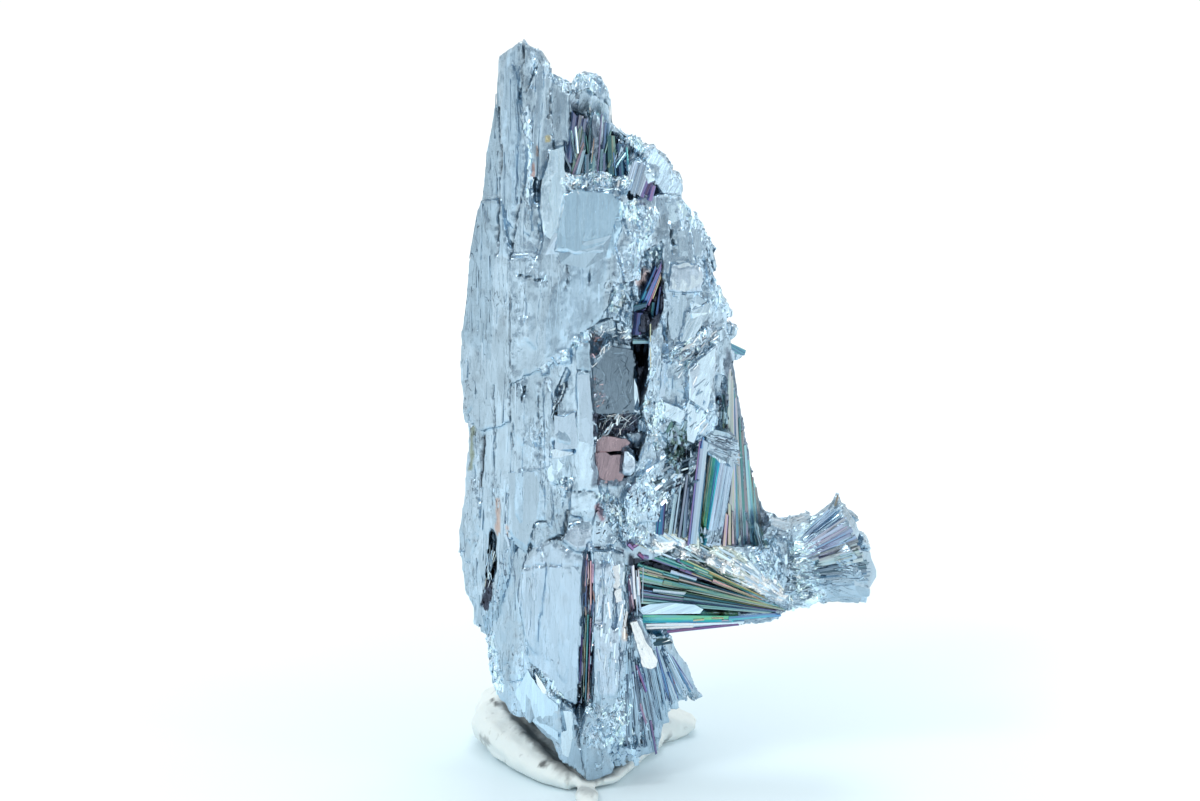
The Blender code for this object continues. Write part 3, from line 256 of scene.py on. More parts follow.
def remeshed(node, voxel):
    """A copy of a CAD node's mesh with an even skin of small faces."""
    blank = in_scene(f"{node}_blank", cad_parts[node].data.copy())
    weld = bmesh.new()
    weld.from_mesh(blank.data)
    bmesh.ops.remove_doubles(weld, verts=weld.verts, dist=1e-7)
    weld.to_mesh(blank.data)
    weld.free()
    step = blank.modifiers.new("even", "REMESH")
    step.mode = "VOXEL"
    step.voxel_size = voxel * MM
    bpy.context.view_layer.update()
    evaluated = blank.evaluated_get(bpy.context.evaluated_depsgraph_get())
    mesh = bpy.data.meshes.new_from_object(evaluated)
    mesh.materials.clear()
    bpy.data.objects.remove(blank, do_unlink=True)
    return mesh


def set_points(mesh, points):
    mesh.vertices.foreach_set("co", (points * MM).astype(np.float32).ravel())
    mesh.update()


# How each kind of attribute is read and written: the field, and the numbers in it.
LAYERS = {"FLOAT": ("value", 1), "FLOAT_COLOR": ("color", 4), "FLOAT_VECTOR": ("vector", 3)}


def set_layer(mesh, name, kind, values):
    """An attribute with a number, a colour or a vector for each point of a mesh."""
    layer = mesh.attributes.new(name, kind, "POINT")
    layer.data.foreach_set(LAYERS[kind][0], np.asarray(values, np.float32).ravel())


def set_float(mesh, name, values):
    set_layer(mesh, name, "FLOAT", values)


def set_vector(mesh, name, values):
    set_layer(mesh, name, "FLOAT_VECTOR", values)


def set_tint(mesh, values):
    opaque = np.ones((len(values), 1))
    set_layer(mesh, "tint", "FLOAT_COLOR", np.hstack([np.clip(values, 0.0, 1.0), opaque]))


def add_piece(name, mesh, material):
    piece = in_scene(name, mesh)
    mesh.materials.clear()
    mesh.materials.append(material)
    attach(piece, "root")
    return piece


# ---------------------------------------------------------------- materials' nodes

class Nodes:
    """Short names for building a material's node tree."""

    def __init__(self, name):
        self.material = bpy.data.materials.new(name)
        self.material.use_nodes = True
        self.tree = self.material.node_tree
        self.shader = self.tree.nodes["Principled BSDF"]

    def fill(self, node, inputs):
        """Give a node's inputs their values, or link other nodes' outputs to them."""
        for name, source in inputs.items():
            if isinstance(source, bpy.types.NodeSocket):
                self.tree.links.new(source, node.inputs[name])
            else:
                node.inputs[name].default_value = source

    def surface(self, **inputs):
        """Fill the shader's inputs, whose names have a space for each underscore."""
        self.fill(self.shader, {name.replace("_", " "): source for name, source in inputs.items()})

    def add(self, kind, inputs, **settings):
        node = self.tree.nodes.new(f"ShaderNode{kind}")
        for name, value in settings.items():
            setattr(node, name, value)
        self.fill(node, inputs)
        return node

    def attribute(self, name, output):
        return self.add("Attribute", {}, attribute_name=name).outputs[output]

    def place(self):
        return self.add("TexCoord", {}).outputs["Object"]

    def scaled(self, vector, scale):
        return self.add("Mapping", {"Vector": vector, "Scale": scale}).outputs["Vector"]

    def noise(self, vector, scale=1.0, detail=2.0, roughness=0.5, distortion=0.0):
        inputs = {"Vector": vector, "Scale": scale, "Detail": detail, "Roughness": roughness,
                  "Distortion": distortion}
        return self.add("TexNoise", inputs).outputs["Fac"]

    def math(self, kind, first, second=0.0, third=0.0):
        return self.add("Math", {0: first, 1: second, 2: third}, operation=kind).outputs["Value"]

    def times(self, first, second):
        return self.math("MULTIPLY", first, second)

    def toned(self, tone, mask, change):
        """The tone, changed by this share where the mask is 1."""
        return self.times(tone, self.math("MULTIPLY_ADD", mask, change, 1.0))

    def vector_math(self, kind, first, second=(0.0, 0.0, 0.0)):
        """The result of two vectors, or, for SCALE, of a vector and a number."""
        inputs = {0: first, "Scale" if kind == "SCALE" else 1: second}
        output = "Value" if kind in ("DOT_PRODUCT", "LENGTH") else "Vector"
        return self.add("VectorMath", inputs, operation=kind).outputs[output]

    def ranged(self, source, low, high, to_low=0.0, to_high=1.0, **settings):
        inputs = {"Value": source, "From Min": low, "From Max": high, "To Min": to_low,
                  "To Max": to_high}
        return self.add("MapRange", inputs, **settings).outputs["Result"]

    def facets(self, vector):
        """Height of a surface of flat facets, each tilted its own way, and each facet's colour."""
        cells = self.add("TexVoronoi", {"Vector": vector, "Scale": 1.0})
        away = self.vector_math("SUBTRACT", vector, cells.outputs["Position"])
        tilt = self.vector_math("SUBTRACT", cells.outputs["Color"], (0.5, 0.5, 0.5))
        split = self.add("SeparateColor", {"Color": cells.outputs["Color"]})
        return self.vector_math("DOT_PRODUCT", away, tilt), split.outputs["Red"], split.outputs["Green"]

    def bump(self, height, distance, strength, under=None):
        inputs = {"Height": height, "Distance": distance, "Strength": strength}
        if under is not None:
            inputs["Normal"] = under
        return self.add("Bump", inputs).outputs["Normal"]

    def mixed(self, share, first, second):
        inputs = {"Factor": share, "A": first, "B": second}
        return self.add("Mix", inputs, data_type="RGBA").outputs["Result"]


# ---------------------------------------------------------------- the stone's surface

# Smooth plates and dull patches of the front: tint, grain (0 smooth, 1 hackly), lift in mm,
# how deep they may lie, and the outline in the display view.
FRONT = -1.0
# The near-black plates are painted shade in slits, pockets and gaps.
PLATES = [
    ("deep", 0.08, 0.08, FRONT,
     [(-2.2, 67.6), (-1.3, 68.4), (0.2, 68.2), (3.3, 68), (4.8, 67), (4.5, 64), (3, 60), (-1, 60),
      (-3.2, 61), (-2.7, 65)]),
    ("pale", 0.10, 0.06, FRONT,
     [(-4, 73), (-2.4, 73.5), (-2.2, 67.5), (-3, 63.8), (-3.7, 63.1), (-4.8, 62.9), (-5.2, 66),
      (-5, 69)]),
    ("steel", 0.12, 0.06, FRONT,
     [(-5.3, 66), (-4.9, 62.8), (-3.6, 63), (-3.1, 62), (-3.4, 58.4), (-5.6, 58.6), (-5.9, 62)]),
    ("blue", 0.12, 0.05, FRONT,
     [(-1.6, 61.6), (2.6, 61.6), (2.8, 56.6), (2.4, 53.8), (0.6, 52.2), (-1.4, 50), (-2.9, 48.8),
      (-4.6, 48.2), (-4.8, 53), (-3.6, 57), (-2.1, 58)]),
    ("dull", 0.08, 0.12, FRONT, [(-0.9, 49.5), (0.6, 50.5), (0.75, 46.7), (-0.9, 46.7)]),
    ("pearl", 0.08, 0.05, FRONT,
     [(-0.9, 46.6), (0.75, 46.6), (1.2, 41), (1.5, 36), (1.8, 32), (0.9, 30), (-1.5, 30), (-1, 36),
      (-0.8, 42)]),
    ("blue", 0.08, 0.10, FRONT, [(-3, 41), (-0.9, 41.4), (-1, 37.6), (-3.4, 38.6)]),
    ("blue", 0.10, 0.08, FRONT,
     [(-9, 35), (-5.2, 35), (-4.9, 29), (-6, 28.5), (-6.8, 25.4), (-8.6, 27)]),
    ("mist", 0.07, 0.10, FRONT,
     [(-4.4, 26.3), (-1, 25.3), (-0.3, 24), (-0.35, 18), (-0.55, 10), (-0.9, 7.2), (-2.7, 7.7),
      (-4, 8.7), (-6.3, 11.7), (-7.8, 20), (-6.9, 24.6)]),
    ("lilac", 0.08, 0.12, FRONT,
     [(-2.4, 26.5), (-1.7, 27.8), (-0.8, 28.3), (0.8, 28), (1, 25.5), (-1, 25.6)]),
    ("lilac", 0.08, 0.14, FRONT,
     [(10.6, 59.5), (13.8, 59.3), (14.2, 57.5), (13.8, 56.3), (10.2, 56.3)]),
    ("bright", 0.06, 0.16, FRONT, [(12.3, 53.5), (15, 55), (14.9, 53.3), (12.8, 50.5), (11.6, 50.2)]),
    ("lilac", 0.05, 0.16, FRONT, [(12.5, 47), (15.9, 50), (15.2, 44.5), (14.6, 42), (12.5, 43.5)]),
    ("lilac", 0.08, 0.14, FRONT, [(9.8, 43), (12, 42), (11.5, 40.5), (9.6, 41.4)]),
    ("bright", 0.08, 0.10, FRONT, [(12.2, 43), (14.3, 42), (13, 38), (12.3, 38.5)]),
    ("green_grey", 0.5, -0.10, FRONT, [(10.3, 39), (12.2, 38.8), (11.8, 36.5), (10.3, 35.5)]),
    ("steel", 0.16, 0.10, FRONT,
     [(7.2, 72.5), (8.4, 73.6), (10.4, 71.2), (11.9, 69), (11.7, 67.6), (9.3, 67.9), (8.2, 69.5),
      (7.5, 71)]),
    ("pale", 0.30, 0.05, FRONT,
     [(5.1, 71.4), (5.8, 71.5), (8.2, 70.3), (8.4, 69.5), (7, 67.2), (5.9, 68.2), (5, 69.9)]),
    ("blue", 0.10, 0.08, 2.0,
     [(-10.0, 77.8), (-9.3, 84.2), (-7.6, 85.9), (-7.4, 81), (-7.2, 69.4), (-8.4, 63.6), (-8.8, 60.4),
      (-10.2, 61), (-10, 66), (-9.7, 71), (-9.4, 73.5)]),
    ("dull", 0.18, 0.0, 4.0,
     [(-10.3, 83), (-10.9, 77.5), (-11.6, 73.5), (-12.1, 69), (-13.1, 63), (-14, 56.5), (-14.7, 50.5),
      (-11, 48), (-10.6, 60), (-10.4, 66), (-10.1, 71), (-9.7, 73.4), (-10.3, 76.5)]),
    ("grey", 0.12, 0.0, 3.0, [(0.9, 48.6), (3.2, 50), (5.9, 49.2), (6.2, 42), (0.8, 41.9)]),
    ("lilac", 0.05, 0.25, 3.0, [(5.9, 45.8), (6.5, 44), (6.5, 41.9), (6.0, 42.4)]),
    ("dark", 0.9, 0.0, 3.0, [(0.8, 41.8), (6.6, 41.8), (6.3, 39.3), (0.9, 39)]),
    ("slate", 0.3, 0.0, 3.0, [(0.9, 38.6), (5.8, 38.8), (5.2, 33.2), (0.9, 33.2)]),
    ("dark", 0.3, 0.0, 6.0, [(5.8, 50.4), (7.8, 51), (7.7, 47), (7.3, 43.4), (6.5, 42.6), (6.2, 46)]),
    ("dark", 0.5, 0.0, 3.0, [(5.1, 38.4), (6.2, 38.2), (6.0, 37.2), (5.1, 37.2)]),
    ("lilac", 0.15, 0.08, FRONT, [(4.6, 37.0), (5.8, 37.2), (6.2, 35.6), (5.6, 34.4), (4.5, 34.6)]),
    ("dark", 0.4, 0.0, 5.0,
     [(7, 58.5), (9.8, 60), (9.4, 53.5), (8.4, 51), (6.3, 51.2), (5.4, 52.3), (5.7, 53.6), (6.5, 55.2),
      (6.5, 56.8)]),
    ("slate", 0.3, 0.0, 6.0,
     [(-2, 77.2), (0.5, 77.2), (2.6, 75.6), (4, 74.6), (5.4, 73.3), (5, 70.6), (1, 70.3),
      (-1.7, 70.3)]),
    ("dark", 0.5, 0.0, 6.0,
     [(-11.4, 25.5), (-10.9, 24), (-10.8, 20), (-11.2, 18), (-12.1, 18.8), (-11.8, 21)]),
    ("straw", 0.3, 0.05, 3.0,
     [(9, 28), (11, 28), (14, 27.0), (17, 26.2), (20, 24.0), (19.4, 23.4), (16, 24.8), (13, 26),
      (10, 26.8)]),
    ("white", 0.3, 0.05, 3.0,
     [(7.5, 25.2), (12, 24.4), (16, 22.7), (20, 20.7), (23.5, 19.2), (24.4, 20), (20.6, 23.2), (16, 25),
      (12, 26.4), (8, 26.6)]),
    ("lilac", 0.20, 0.10, 1.0, [(7, 18.2), (9, 19.3), (13, 19), (14, 18.2), (13.5, 17.9), (7.2, 17.8)]),
    ("slate", 0.3, 0.0, 5.0,
     [(16.8, 50), (18, 48), (19.4, 38.5), (21, 31), (22.2, 28.6), (21, 26), (17.4, 26), (16.8, 34),
      (16.4, 42)]),
    ("dark", 0.2, 0.0, 4.0, [(15.8, 43.8), (17.2, 43.6), (17.3, 39.8), (15.9, 39.8)]),
    ("slate", 0.3, 0.0, FRONT,
     [(5.8, 17), (6.2, 14), (7, 11.5), (8.2, 11.3), (8.7, 12), (7.9, 15), (6.8, 17)]),
    ("lilac", 0.2, 0.06, FRONT,
     [(1.3, 24), (4.8, 23.6), (5.2, 17), (4.6, 10), (3.4, 8), (1.4, 8.4), (1.3, 17)]),
    ("dark", 0.4, 0.0, 1.0,
     [(-0.2, 18.2), (1.15, 17.5), (1.15, 13), (0.7, 8), (-0.85, 6.3), (-0.6, 10), (-0.4, 14)]),
    ("slate", 0.4, 0.0, 1.0, [(0, 24.5), (1.15, 24.3), (1.2, 18.4), (0, 18.4)]),
    ("dark", 0.3, 0.0, 4.0, [(5.4, 25), (12, 23.6), (20, 20), (24, 18.2), (14, 18), (5.4, 18)]),
    ("pale", 0.4, 0.0, 5.0,
     [(24.3, 25), (26, 28.6), (27.5, 29), (28.4, 24.4), (28.8, 20), (26.8, 18.4), (25, 18.2),
      (24.2, 19)]),
]

# The top's edge, above which nothing stands.
TOP_EDGE = [
    (-10.6, 84.1), (-7.8, 86.5), (-7.3, 86.7), (-7.0, 86.2), (-6.5, 85.5), (-5.0, 84.9), (-4.1, 83.5),
    (-3.9, 82.3), (-2.5, 81.5), (-1.4, 81.0), (-0.8, 82.0), (0.3, 82.7), (1.2, 82.4), (2.0, 81.9),
    (2.7, 80.6), (3.2, 79.1), (3.3, 76.4), (3.9, 75.7), (5.3, 74.9), (6.8, 74.6), (8.4, 73.8),
    (11.4, 70.4), (13.1, 66.0), (15.4, 63.0), (18.0, 60.0), (40.0, 60.0)
]

# Bands of broken, glittering crystal ends: half-width, strength, how deep, and the line.
GRAIN_BANDS = [
    (0.8, 1.0, 1.0, [(-2, 69.3), (1, 69.8), (5, 69.6)]),
    (0.4, 0.7, 1.0, [(0.9, 51.8), (-1.5, 49.5), (-3, 48), (-5, 47.2)]),
    (1.9, 0.55, 1.0, [(7.6, 35), (6.8, 31.4), (4.4, 29)]),
    (0.7, 0.5, 1.0, [(8.6, 51.6), (8.6, 44.6)]),
    (2.2, 0.55, 1.0, [(1.6, 3.4), (4.4, 4.0), (6.4, 4.4)]),
    (1.5, 0.65, 1.0, [(5.4, 66), (7.5, 65), (6.5, 62), (8.5, 60.6)]),
    (0.8, 0.6, 3.0, [(4.4, 74.8), (6.5, 73.8), (7.6, 72.4)]),
    (0.9, 0.6, 2.0, [(12.3, 66), (14.2, 63.6), (14.4, 61.6)]),
    (0.9, 0.9, 1.0, [(7.6, 43), (9.7, 42), (8, 40.5), (8.6, 38)]),
    (0.8, 0.9, 1.0, [(10.5, 48.5), (15, 51.5)]),
    (0.6, 0.7, 1.0, [(12, 47.5), (16, 51)]),
    (0.9, 0.6, 4.0, [(-0.4, 81.2), (0.6, 81.6), (1.0, 80.4)]),
    (0.9, 0.8, 4.0, [(-3.8, 82.2), (-1.2, 80.2), (0.6, 77.8)]),
    (1.3, 0.9, 1.0, [(2.4, 31.6), (4.6, 29), (6.6, 27.2)]),
    (1.0, 0.9, 1.0, [(3.4, 56.6), (4.6, 55.6), (4.0, 54.6)]),
    (1.0, 0.8, 1.0, [(1, 6.6), (3, 5.6), (5, 6.8)]),
    (0.9, 0.9, 2.0, [(15, 38.6), (16.6, 38.4), (17.8, 37.4)]),
    (1.0, 0.7, 6.0, [(12, 25.8), (17, 24.8), (22, 23.6)]),
    (1.2, 0.5, 6.0, [(25.2, 26), (25.6, 23), (26, 20.4)]),
    (1.8, 0.55, 6.0, [(20.8, 28.0), (21.8, 24.5), (22.6, 21.6)]),
    (0.3, 0.45, 1.0, [(-8, 58.3), (-6, 57.5), (-4.7, 57.6)]),
    (0.7, 0.45, 1.0, [(-6.0, 84.4), (-5.6, 82.4)]),
    (0.5, 0.5, 1.0, [(-6.9, 77.5), (-6.6, 74), (-6.3, 66)]),
    (0.6, 0.7, 2.0, [(-11.3, 15.6), (-10.2, 9)]),
    (0.7, 0.7, 1.0, [(-5.4, 10.4), (-3.0, 7.6)]),
]

# Cracks and sharp steps: half-width, depth in mm, and the line. They are cut in, and their tint is dimmed
# as painted shade.
CRACKS = [
    (0.12, 0.4, [(-7.6, 58.1), (-6.4, 57.6), (-4.7, 57.4)]),
    (0.14, 0.45, [(-10.4, 78), (-10.2, 76), (-9.6, 73.5), (-9.9, 71), (-10.3, 66), (-10.4, 61)]),
    (0.12, 0.35, [(-7, 85.8), (-7.3, 81), (-7.7, 79.3)]),
    (0.12, 0.35, [(-5.1, 83.7), (-6.8, 80)]),
    (0.13, 0.5, [(-3.95, 80.3), (-4.1, 77)]),
    (0.11, 0.4, [(-3.9, 75), (-3.6, 72.6)]),
    (0.12, 0.35, [(-7.1, 69), (-8.4, 63), (-8.7, 60)]),
    (0.12, 0.4, [(-1.7, 61), (-1.8, 58.8), (-2.05, 56.8)]),
    (0.13, 0.4, [(0.8, 59), (0.6, 57.8), (0.75, 57.2)]),
    (0.12, 0.35, [(3.6, 65.6), (3.5, 63.6)]),
    (0.11, 0.3, [(3.9, 64.8), (4.7, 64.9)]),
    (0.16, 0.6, [(-7.2, 44.8), (-7.3, 43.2)]),
    (0.3, 0.7, [(-2.1, 45.3), (-2.9, 43.6), (-3.6, 42), (-3.5, 41.2)]),
    (0.10, 0.3, [(-0.85, 46.7), (0.7, 46.7)]),
    (0.13, 0.4, [(-4.7, 28.7), (-6.1, 28.5), (-6.9, 25)]),
    (0.25, 0.5, [(-4.3, 26.6), (-2.3, 27.1), (-1.95, 30)]),
    (0.12, 0.4, [(-1.4, 32.3), (1, 32.5), (1.5, 31.5)]),
    (0.13, 0.4, [(2, 30.2), (3, 30.5), (3.5, 31.7)]),
    (0.09, 0.2, [(-7.6, 23.5), (-0.4, 23.5)]),
    (0.16, 0.5, [(-6.5, 11.8), (-5.2, 10.5), (-4.2, 8.7), (-3, 7.6), (-1.5, 6.8)]),
    (0.18, 0.6, [(-1, 4.5), (-0.5, 2)]),
    (0.13, 0.4, [(-12, 39), (-12.4, 33)]),
    (0.16, 0.6, [(7.2, 43.6), (6.9, 42.4), (6.6, 41.5)]),
    (0.18, 0.6, [(10.4, 63.7), (10.7, 62), (10.7, 60.8)]),
    (0.14, 0.5, [(14.8, 61.5), (15.1, 59.4), (15.3, 57.5)]),
    (0.12, 0.4, [(12.5, 47), (12.4, 43.6)]),
    (0.08, 0.2, [(13.8, 56.2), (12.4, 53.6), (11.4, 50.2)]),
    (0.12, 0.4, [(9.6, 57.6), (10.0, 52.6), (9.4, 48.6), (9.6, 44.6)]),
    (0.12, 0.35, [(-8.9, 56), (-8.7, 50), (-8.9, 44), (-8.6, 38)]),
    (0.12, 0.3, [(-5.2, 46), (-5.4, 40), (-5.1, 35.4)]),
    (0.12, 0.3, [(-10.9, 45), (-10.6, 38), (-11.0, 31)]),
]

# Stains that are only colour: colour, half-width, and the line. The near-black line along the crack at the
# left is painted shade.
STAINS = [
    ((0.30, 0.40, 0.49), 0.35, [(-8.8, 60.7), (-5.6, 60.5)]),
    ((0.34, 0.20, 0.17), 0.30, [(-6, 71.5), (-6.1, 70.2)]),
    ((0.40, 0.26, 0.2), 0.20, [(-5.3, 73.4), (-5.35, 72.6)]),
    ((0.62, 0.52, 0.22), 0.22, [(-4.35, 74.9), (-4.3, 74.2)]),
    ((0.50, 0.36, 0.30), 0.35, [(-10, 31.5), (-10.2, 29), (-10.3, 27.5)]),
    ((0.55, 0.40, 0.34), 0.25, [(-9.2, 28.2), (-9.2, 27.2)]),
    ((0.21, 0.25, 0.18), 0.26, [(-13.2, 40), (-13.3, 37.6), (-13.5, 35)]),
    # Painted shade along a crack.
    ((0.10, 0.12, 0.15), 0.16, [(-12, 39), (-12.4, 33)]),
    ((0.70, 0.50, 0.36), 0.35, [(4.9, 17.6), (4.9, 15)]),
    ((0.30, 0.17, 0.28), 0.25, [(8.1, 69.0), (8.1, 68.4)]),
    ((0.30, 0.18, 0.19), 0.40, [(0.6, 22.6), (0.7, 20)]),
    ((0.32, 0.17, 0.20), 0.45, [(1.4, 30.6), (2.2, 29.4)]),
    ((0.45, 0.36, 0.36), 0.5, [(7.2, 58.8), (6.6, 57.4)]),
]


def growth_frame(points):
    """Coordinates that follow the crystals: across them, into the stone, and along them."""
    across, up = seen_at(points)
    arm = smooth_step(across, 7.0, 9.0) * smooth_step(28.5 - up, 0.0, 1.5)
    arm *= smooth_step(up, 14.4, 15.2)
    arm *= 1.0 - smooth_step(across, 24.0, 24.6)
    reach = np.hypot(across - ARM_TIP[0], up - ARM_TIP[1])
    turn = np.arctan2(up - ARM_TIP[1], ARM_TIP[0] - across)
    spoke = np.stack([turn * ARM_TURN, points[:, 1], reach], axis=1)
    knob = smooth_step(across, 24.0, 25.5)
    aside, above = from_knob(across, up)
    turn = np.arctan2(above, aside)
    flare = np.stack([turn * KNOB_TURN, points[:, 1], np.hypot(aside, above)], axis=1)
    grown = np.where((arm > 0.5)[:, None], spoke, points)
    return np.where((knob > 0.5)[:, None], flare, grown)


def growth_stretch(points, along):
    """The crystals' own coordinates, shortened along them so that cells come out long."""
    grown = growth_frame(points)
    grown[:, 2] *= along
    return grown


def paint_front(points, normals):
    """Grain, lift and tint of the surface, from the plates, bands, cracks and stains above."""
    across, up = seen_at(points)
    depth = points[:, 1]
    across = across + (0.16 * noise(points, (0.9, 0.9, 1.6), 71) + 0.10 * noise(points, 0.45, 72))
    up = up + (0.16 * noise(points, (0.9, 0.9, 1.6), 73) + 0.10 * noise(points, 0.45, 74))
    facing = -normals @ AWAY > 0.05

    hackly = smooth_step(across, 1.0, 6.0) * smooth_step(up, 26.0, 32.0)
    grain = 0.17 + 0.17 * hackly
    grain += 0.26 * noise(points, (2.6, 2.6, 7.0), 61) + 0.16 * noise(points, (1.0, 1.0, 3.0), 62)
    grain = np.clip(grain, 0.06, 0.8)
    _, _, plate = facets(growth_stretch(points, 0.22), 2.1, 0.0, 0.0, 301)
    shade = 0.86 + 0.30 * plate
    tint = np.array(TINTS["steel"]) * shade[:, None]
    lift = np.zeros(len(points))

    for name, roughness, raised, deepest, outline in PLATES:
        gap, inside = edge_distance(across, up, outline)
        chosen = inside & facing & (depth < deepest)
        blend = np.where(chosen, smooth_step(gap, 0.0, 0.12), 0.0)
        grain += (roughness - grain) * blend
        lift += (raised - lift) * blend
        colour = np.array(TINTS[name])
        tint += (colour * (0.93 + 0.14 * plate)[:, None] - tint) * blend[:, None]

    bright = np.array(TINTS["bright"])
    for half, strength, deepest, line in GRAIN_BANDS:
        blend = strength * near_line(across, up, line, 0.55 * half, 1.1 * half)
        blend = blend * (facing & (depth < deepest))
        grain = np.maximum(grain, blend)
        # Painted highlight: the bands' tint is drawn towards the bright one, for their glitter.
        tint += (bright * 0.85 - tint) * 0.22 * blend[:, None]

    for colour, half, line in STAINS:
        blend = near_line(across, up, line, 0.4 * half, 1.2 * half) * (facing & (depth < 2.0))
        tint += (np.array(colour) - tint) * 0.8 * blend[:, None]

    crack_shade = np.zeros(len(points))
    for half, deep, line in CRACKS:
        blend = near_line(across, up, line, 0.2 * half, half + 0.05) * (facing & (depth < 1.0))
        lift -= 0.6 * deep * blend
        crack_shade = np.maximum(crack_shade, blend * min(1.0, 2.2 * deep))
    # Painted shade: the tint is dimmed along the cracks.
    tint *= (1.0 - 0.6 * crack_shade)[:, None]
    return grain, lift, tint


def sculpt_stone(mesh):
    """Work the remeshed stone: warped sheets, cleavage plates, ribs, cracks and hackly grains."""
    points, normals = mesh_arrays(mesh)
    warp = np.stack([
        0.22 * noise(points, (1.6, 1.6, 5.0), 11 + axis)
        + 0.10 * noise(points, (0.6, 0.6, 1.4), 21 + axis)
        for axis in range(3)
    ], axis=1)
    warp[:, 1] *= 0.22
    grain, lift, tint = paint_front(points, normals)
    plate, plate_edge, _ = facets(growth_stretch(points, 0.20), 1.7, 0.05, 0.13, 401)
    fine, _, fine_mark = facets(growth_stretch(points, 0.28), 0.75, 0.07, 0.06, 421)
    rough, _, rough_mark = facets(growth_stretch(points, 0.65), 0.62, 0.42, 0.12, 441)
    ribs = noise(growth_stretch(points, 0.08), 0.42, 461)
    calm = 1.0 - smooth_step(grain, 0.05, 0.30)
    height = lift
    height += plate * (1.0 - 0.85 * calm)
    height += fine * (1.0 - 0.8 * calm)
    height += 0.034 * ribs * (1.0 - 0.6 * calm)
    height += rough * smooth_step(grain, 0.30, 0.85)
    height -= 0.07 * (1.0 - smooth_step(plate_edge, 0.0, 0.10)) * (1.0 - calm)
    moved = points + warp + normals * height[:, None]
    across, up = seen_at(moved)
    rim = np.interp(across, *np.transpose(TOP_EDGE))
    moved[:, 2] -= np.maximum(up - rim, 0.0) / math.cos(VIEW_TILT)
    moved[:, 2] = np.maximum(moved[:, 2], points[:, 2].min() + 0.05)
    set_points(mesh, moved)
    # Random tone by fine facet; hackly grain is painted up to a third lighter, painted light that makes up
    # for the shade its grains cast on one another.
    tint = tint * (0.94 + 0.12 * fine_mark + 0.34 * smooth_step(grain, 0.24, 0.6))[:, None]
    glitter = smooth_step(grain, 0.4, 0.9) * (rough_mark - 0.5)
    tint = tint * (1.0 + 0.5 * glitter)[:, None]
    set_float(mesh, "grain", np.clip(grain, 0.0, 1.0))
    set_tint(mesh, tint)
    set_vector(mesh, "growth", growth_frame(points))
    _, normals = mesh_arrays(mesh)
    return {"points": moved, "normals": normals, "grain": grain, "tint": tint}


def stone_material():
    """Blue-grey metallic lustre, striated along the growth and granular where the grain says."""
    nodes = Nodes("stone")
    grain = nodes.attribute("grain", "Fac")
    growth = nodes.attribute("growth", "Vector")

    streaks = nodes.noise(nodes.scaled(growth, (5.0, 5.0, 0.25)), detail=4.0, roughness=0.62)
    blotches = nodes.noise(nodes.scaled(growth, (0.7, 0.7, 0.3)), detail=3.0)
    hair = nodes.noise(nodes.scaled(growth, (1.5, 1.5, 0.16)), detail=1.5, distortion=0.3)
    flakes, flake_mark, _ = nodes.facets(nodes.scaled(growth, (1.5, 1.5, 0.38)))
    grit, grit_mark, grit_glint = nodes.facets(nodes.scaled(growth, (4.0, 4.0, 1.7)))
    crumple, _, _ = nodes.facets(nodes.scaled(growth, (1.7, 1.7, 0.9)))
    grit_share = nodes.ranged(grain, 0.12, 0.9)

    # Hairline cracks where the stretched noise passes its middle, broken up by the blotches. They are
    # painted dimmer, as painted shade in them.
    line = nodes.math("ABSOLUTE", nodes.math("SUBTRACT", hair, 0.5))
    line = nodes.times(nodes.ranged(line, 0.0, 0.012, 1.0, 0.0), nodes.ranged(blotches, 0.48, 0.56))
    line = nodes.times(line, nodes.ranged(grain, 0.02, 0.14, 0.3, 1.0))

    # Painted shade in small pits and in nicks across the growth, and painted glints, in patches.
    shade_and_glint_patches = nodes.times(nodes.ranged(blotches, 0.40, 0.62), nodes.ranged(grain, 0.03, 0.3, 0.3, 1.0))
    pits = nodes.noise(nodes.scaled(growth, (3.6, 3.6, 1.9)), detail=3.0, roughness=0.7)
    nicks = nodes.noise(nodes.scaled(growth, (1.0, 1.0, 6.5)), detail=2.5, roughness=0.6)

    tone = nodes.ranged(streaks, 0.3, 0.7, 0.93, 1.06)
    tone = nodes.times(tone, nodes.ranged(flake_mark, 0.0, 1.0, 0.94, 1.05))
    for mask, change in (
        (nodes.times(nodes.ranged(grit_mark, 0.12, 0.22, 1.0, 0.0), grit_share), -0.55),
        (line, -0.45),
        (nodes.times(nodes.ranged(grit_glint, 0.78, 0.9), grit_share), 0.5),
        (nodes.times(nodes.ranged(pits, 0.60, 0.67), shade_and_glint_patches), -0.42),
        (nodes.times(nodes.ranged(nicks, 0.63, 0.68), shade_and_glint_patches), -0.30),
        (nodes.times(nodes.ranged(pits, 0.38, 0.32), shade_and_glint_patches), 0.34),
    ):
        tone = nodes.toned(tone, mask, change)

    normal = nodes.bump(flakes, 0.00007, 0.9)
    normal = nodes.bump(streaks, 0.00007, 0.35, normal)
    normal = nodes.bump(line, 0.00008, 0.5, normal)
    normal = nodes.bump(crumple, 0.00035, nodes.ranged(grain, 0.12, 0.7, 0.0, 0.9), normal)
    normal = nodes.bump(grit, 0.00022, nodes.ranged(grain, 0.05, 0.8, 0.06, 0.6), normal)
    nodes.surface(
        Metallic=1.0, Roughness=nodes.ranged(grain, 0.0, 1.0, 0.24, 0.28), Normal=normal,
        Base_Color=nodes.vector_math("SCALE", nodes.attribute("tint", "Color"), tone),
    )
    return nodes.material


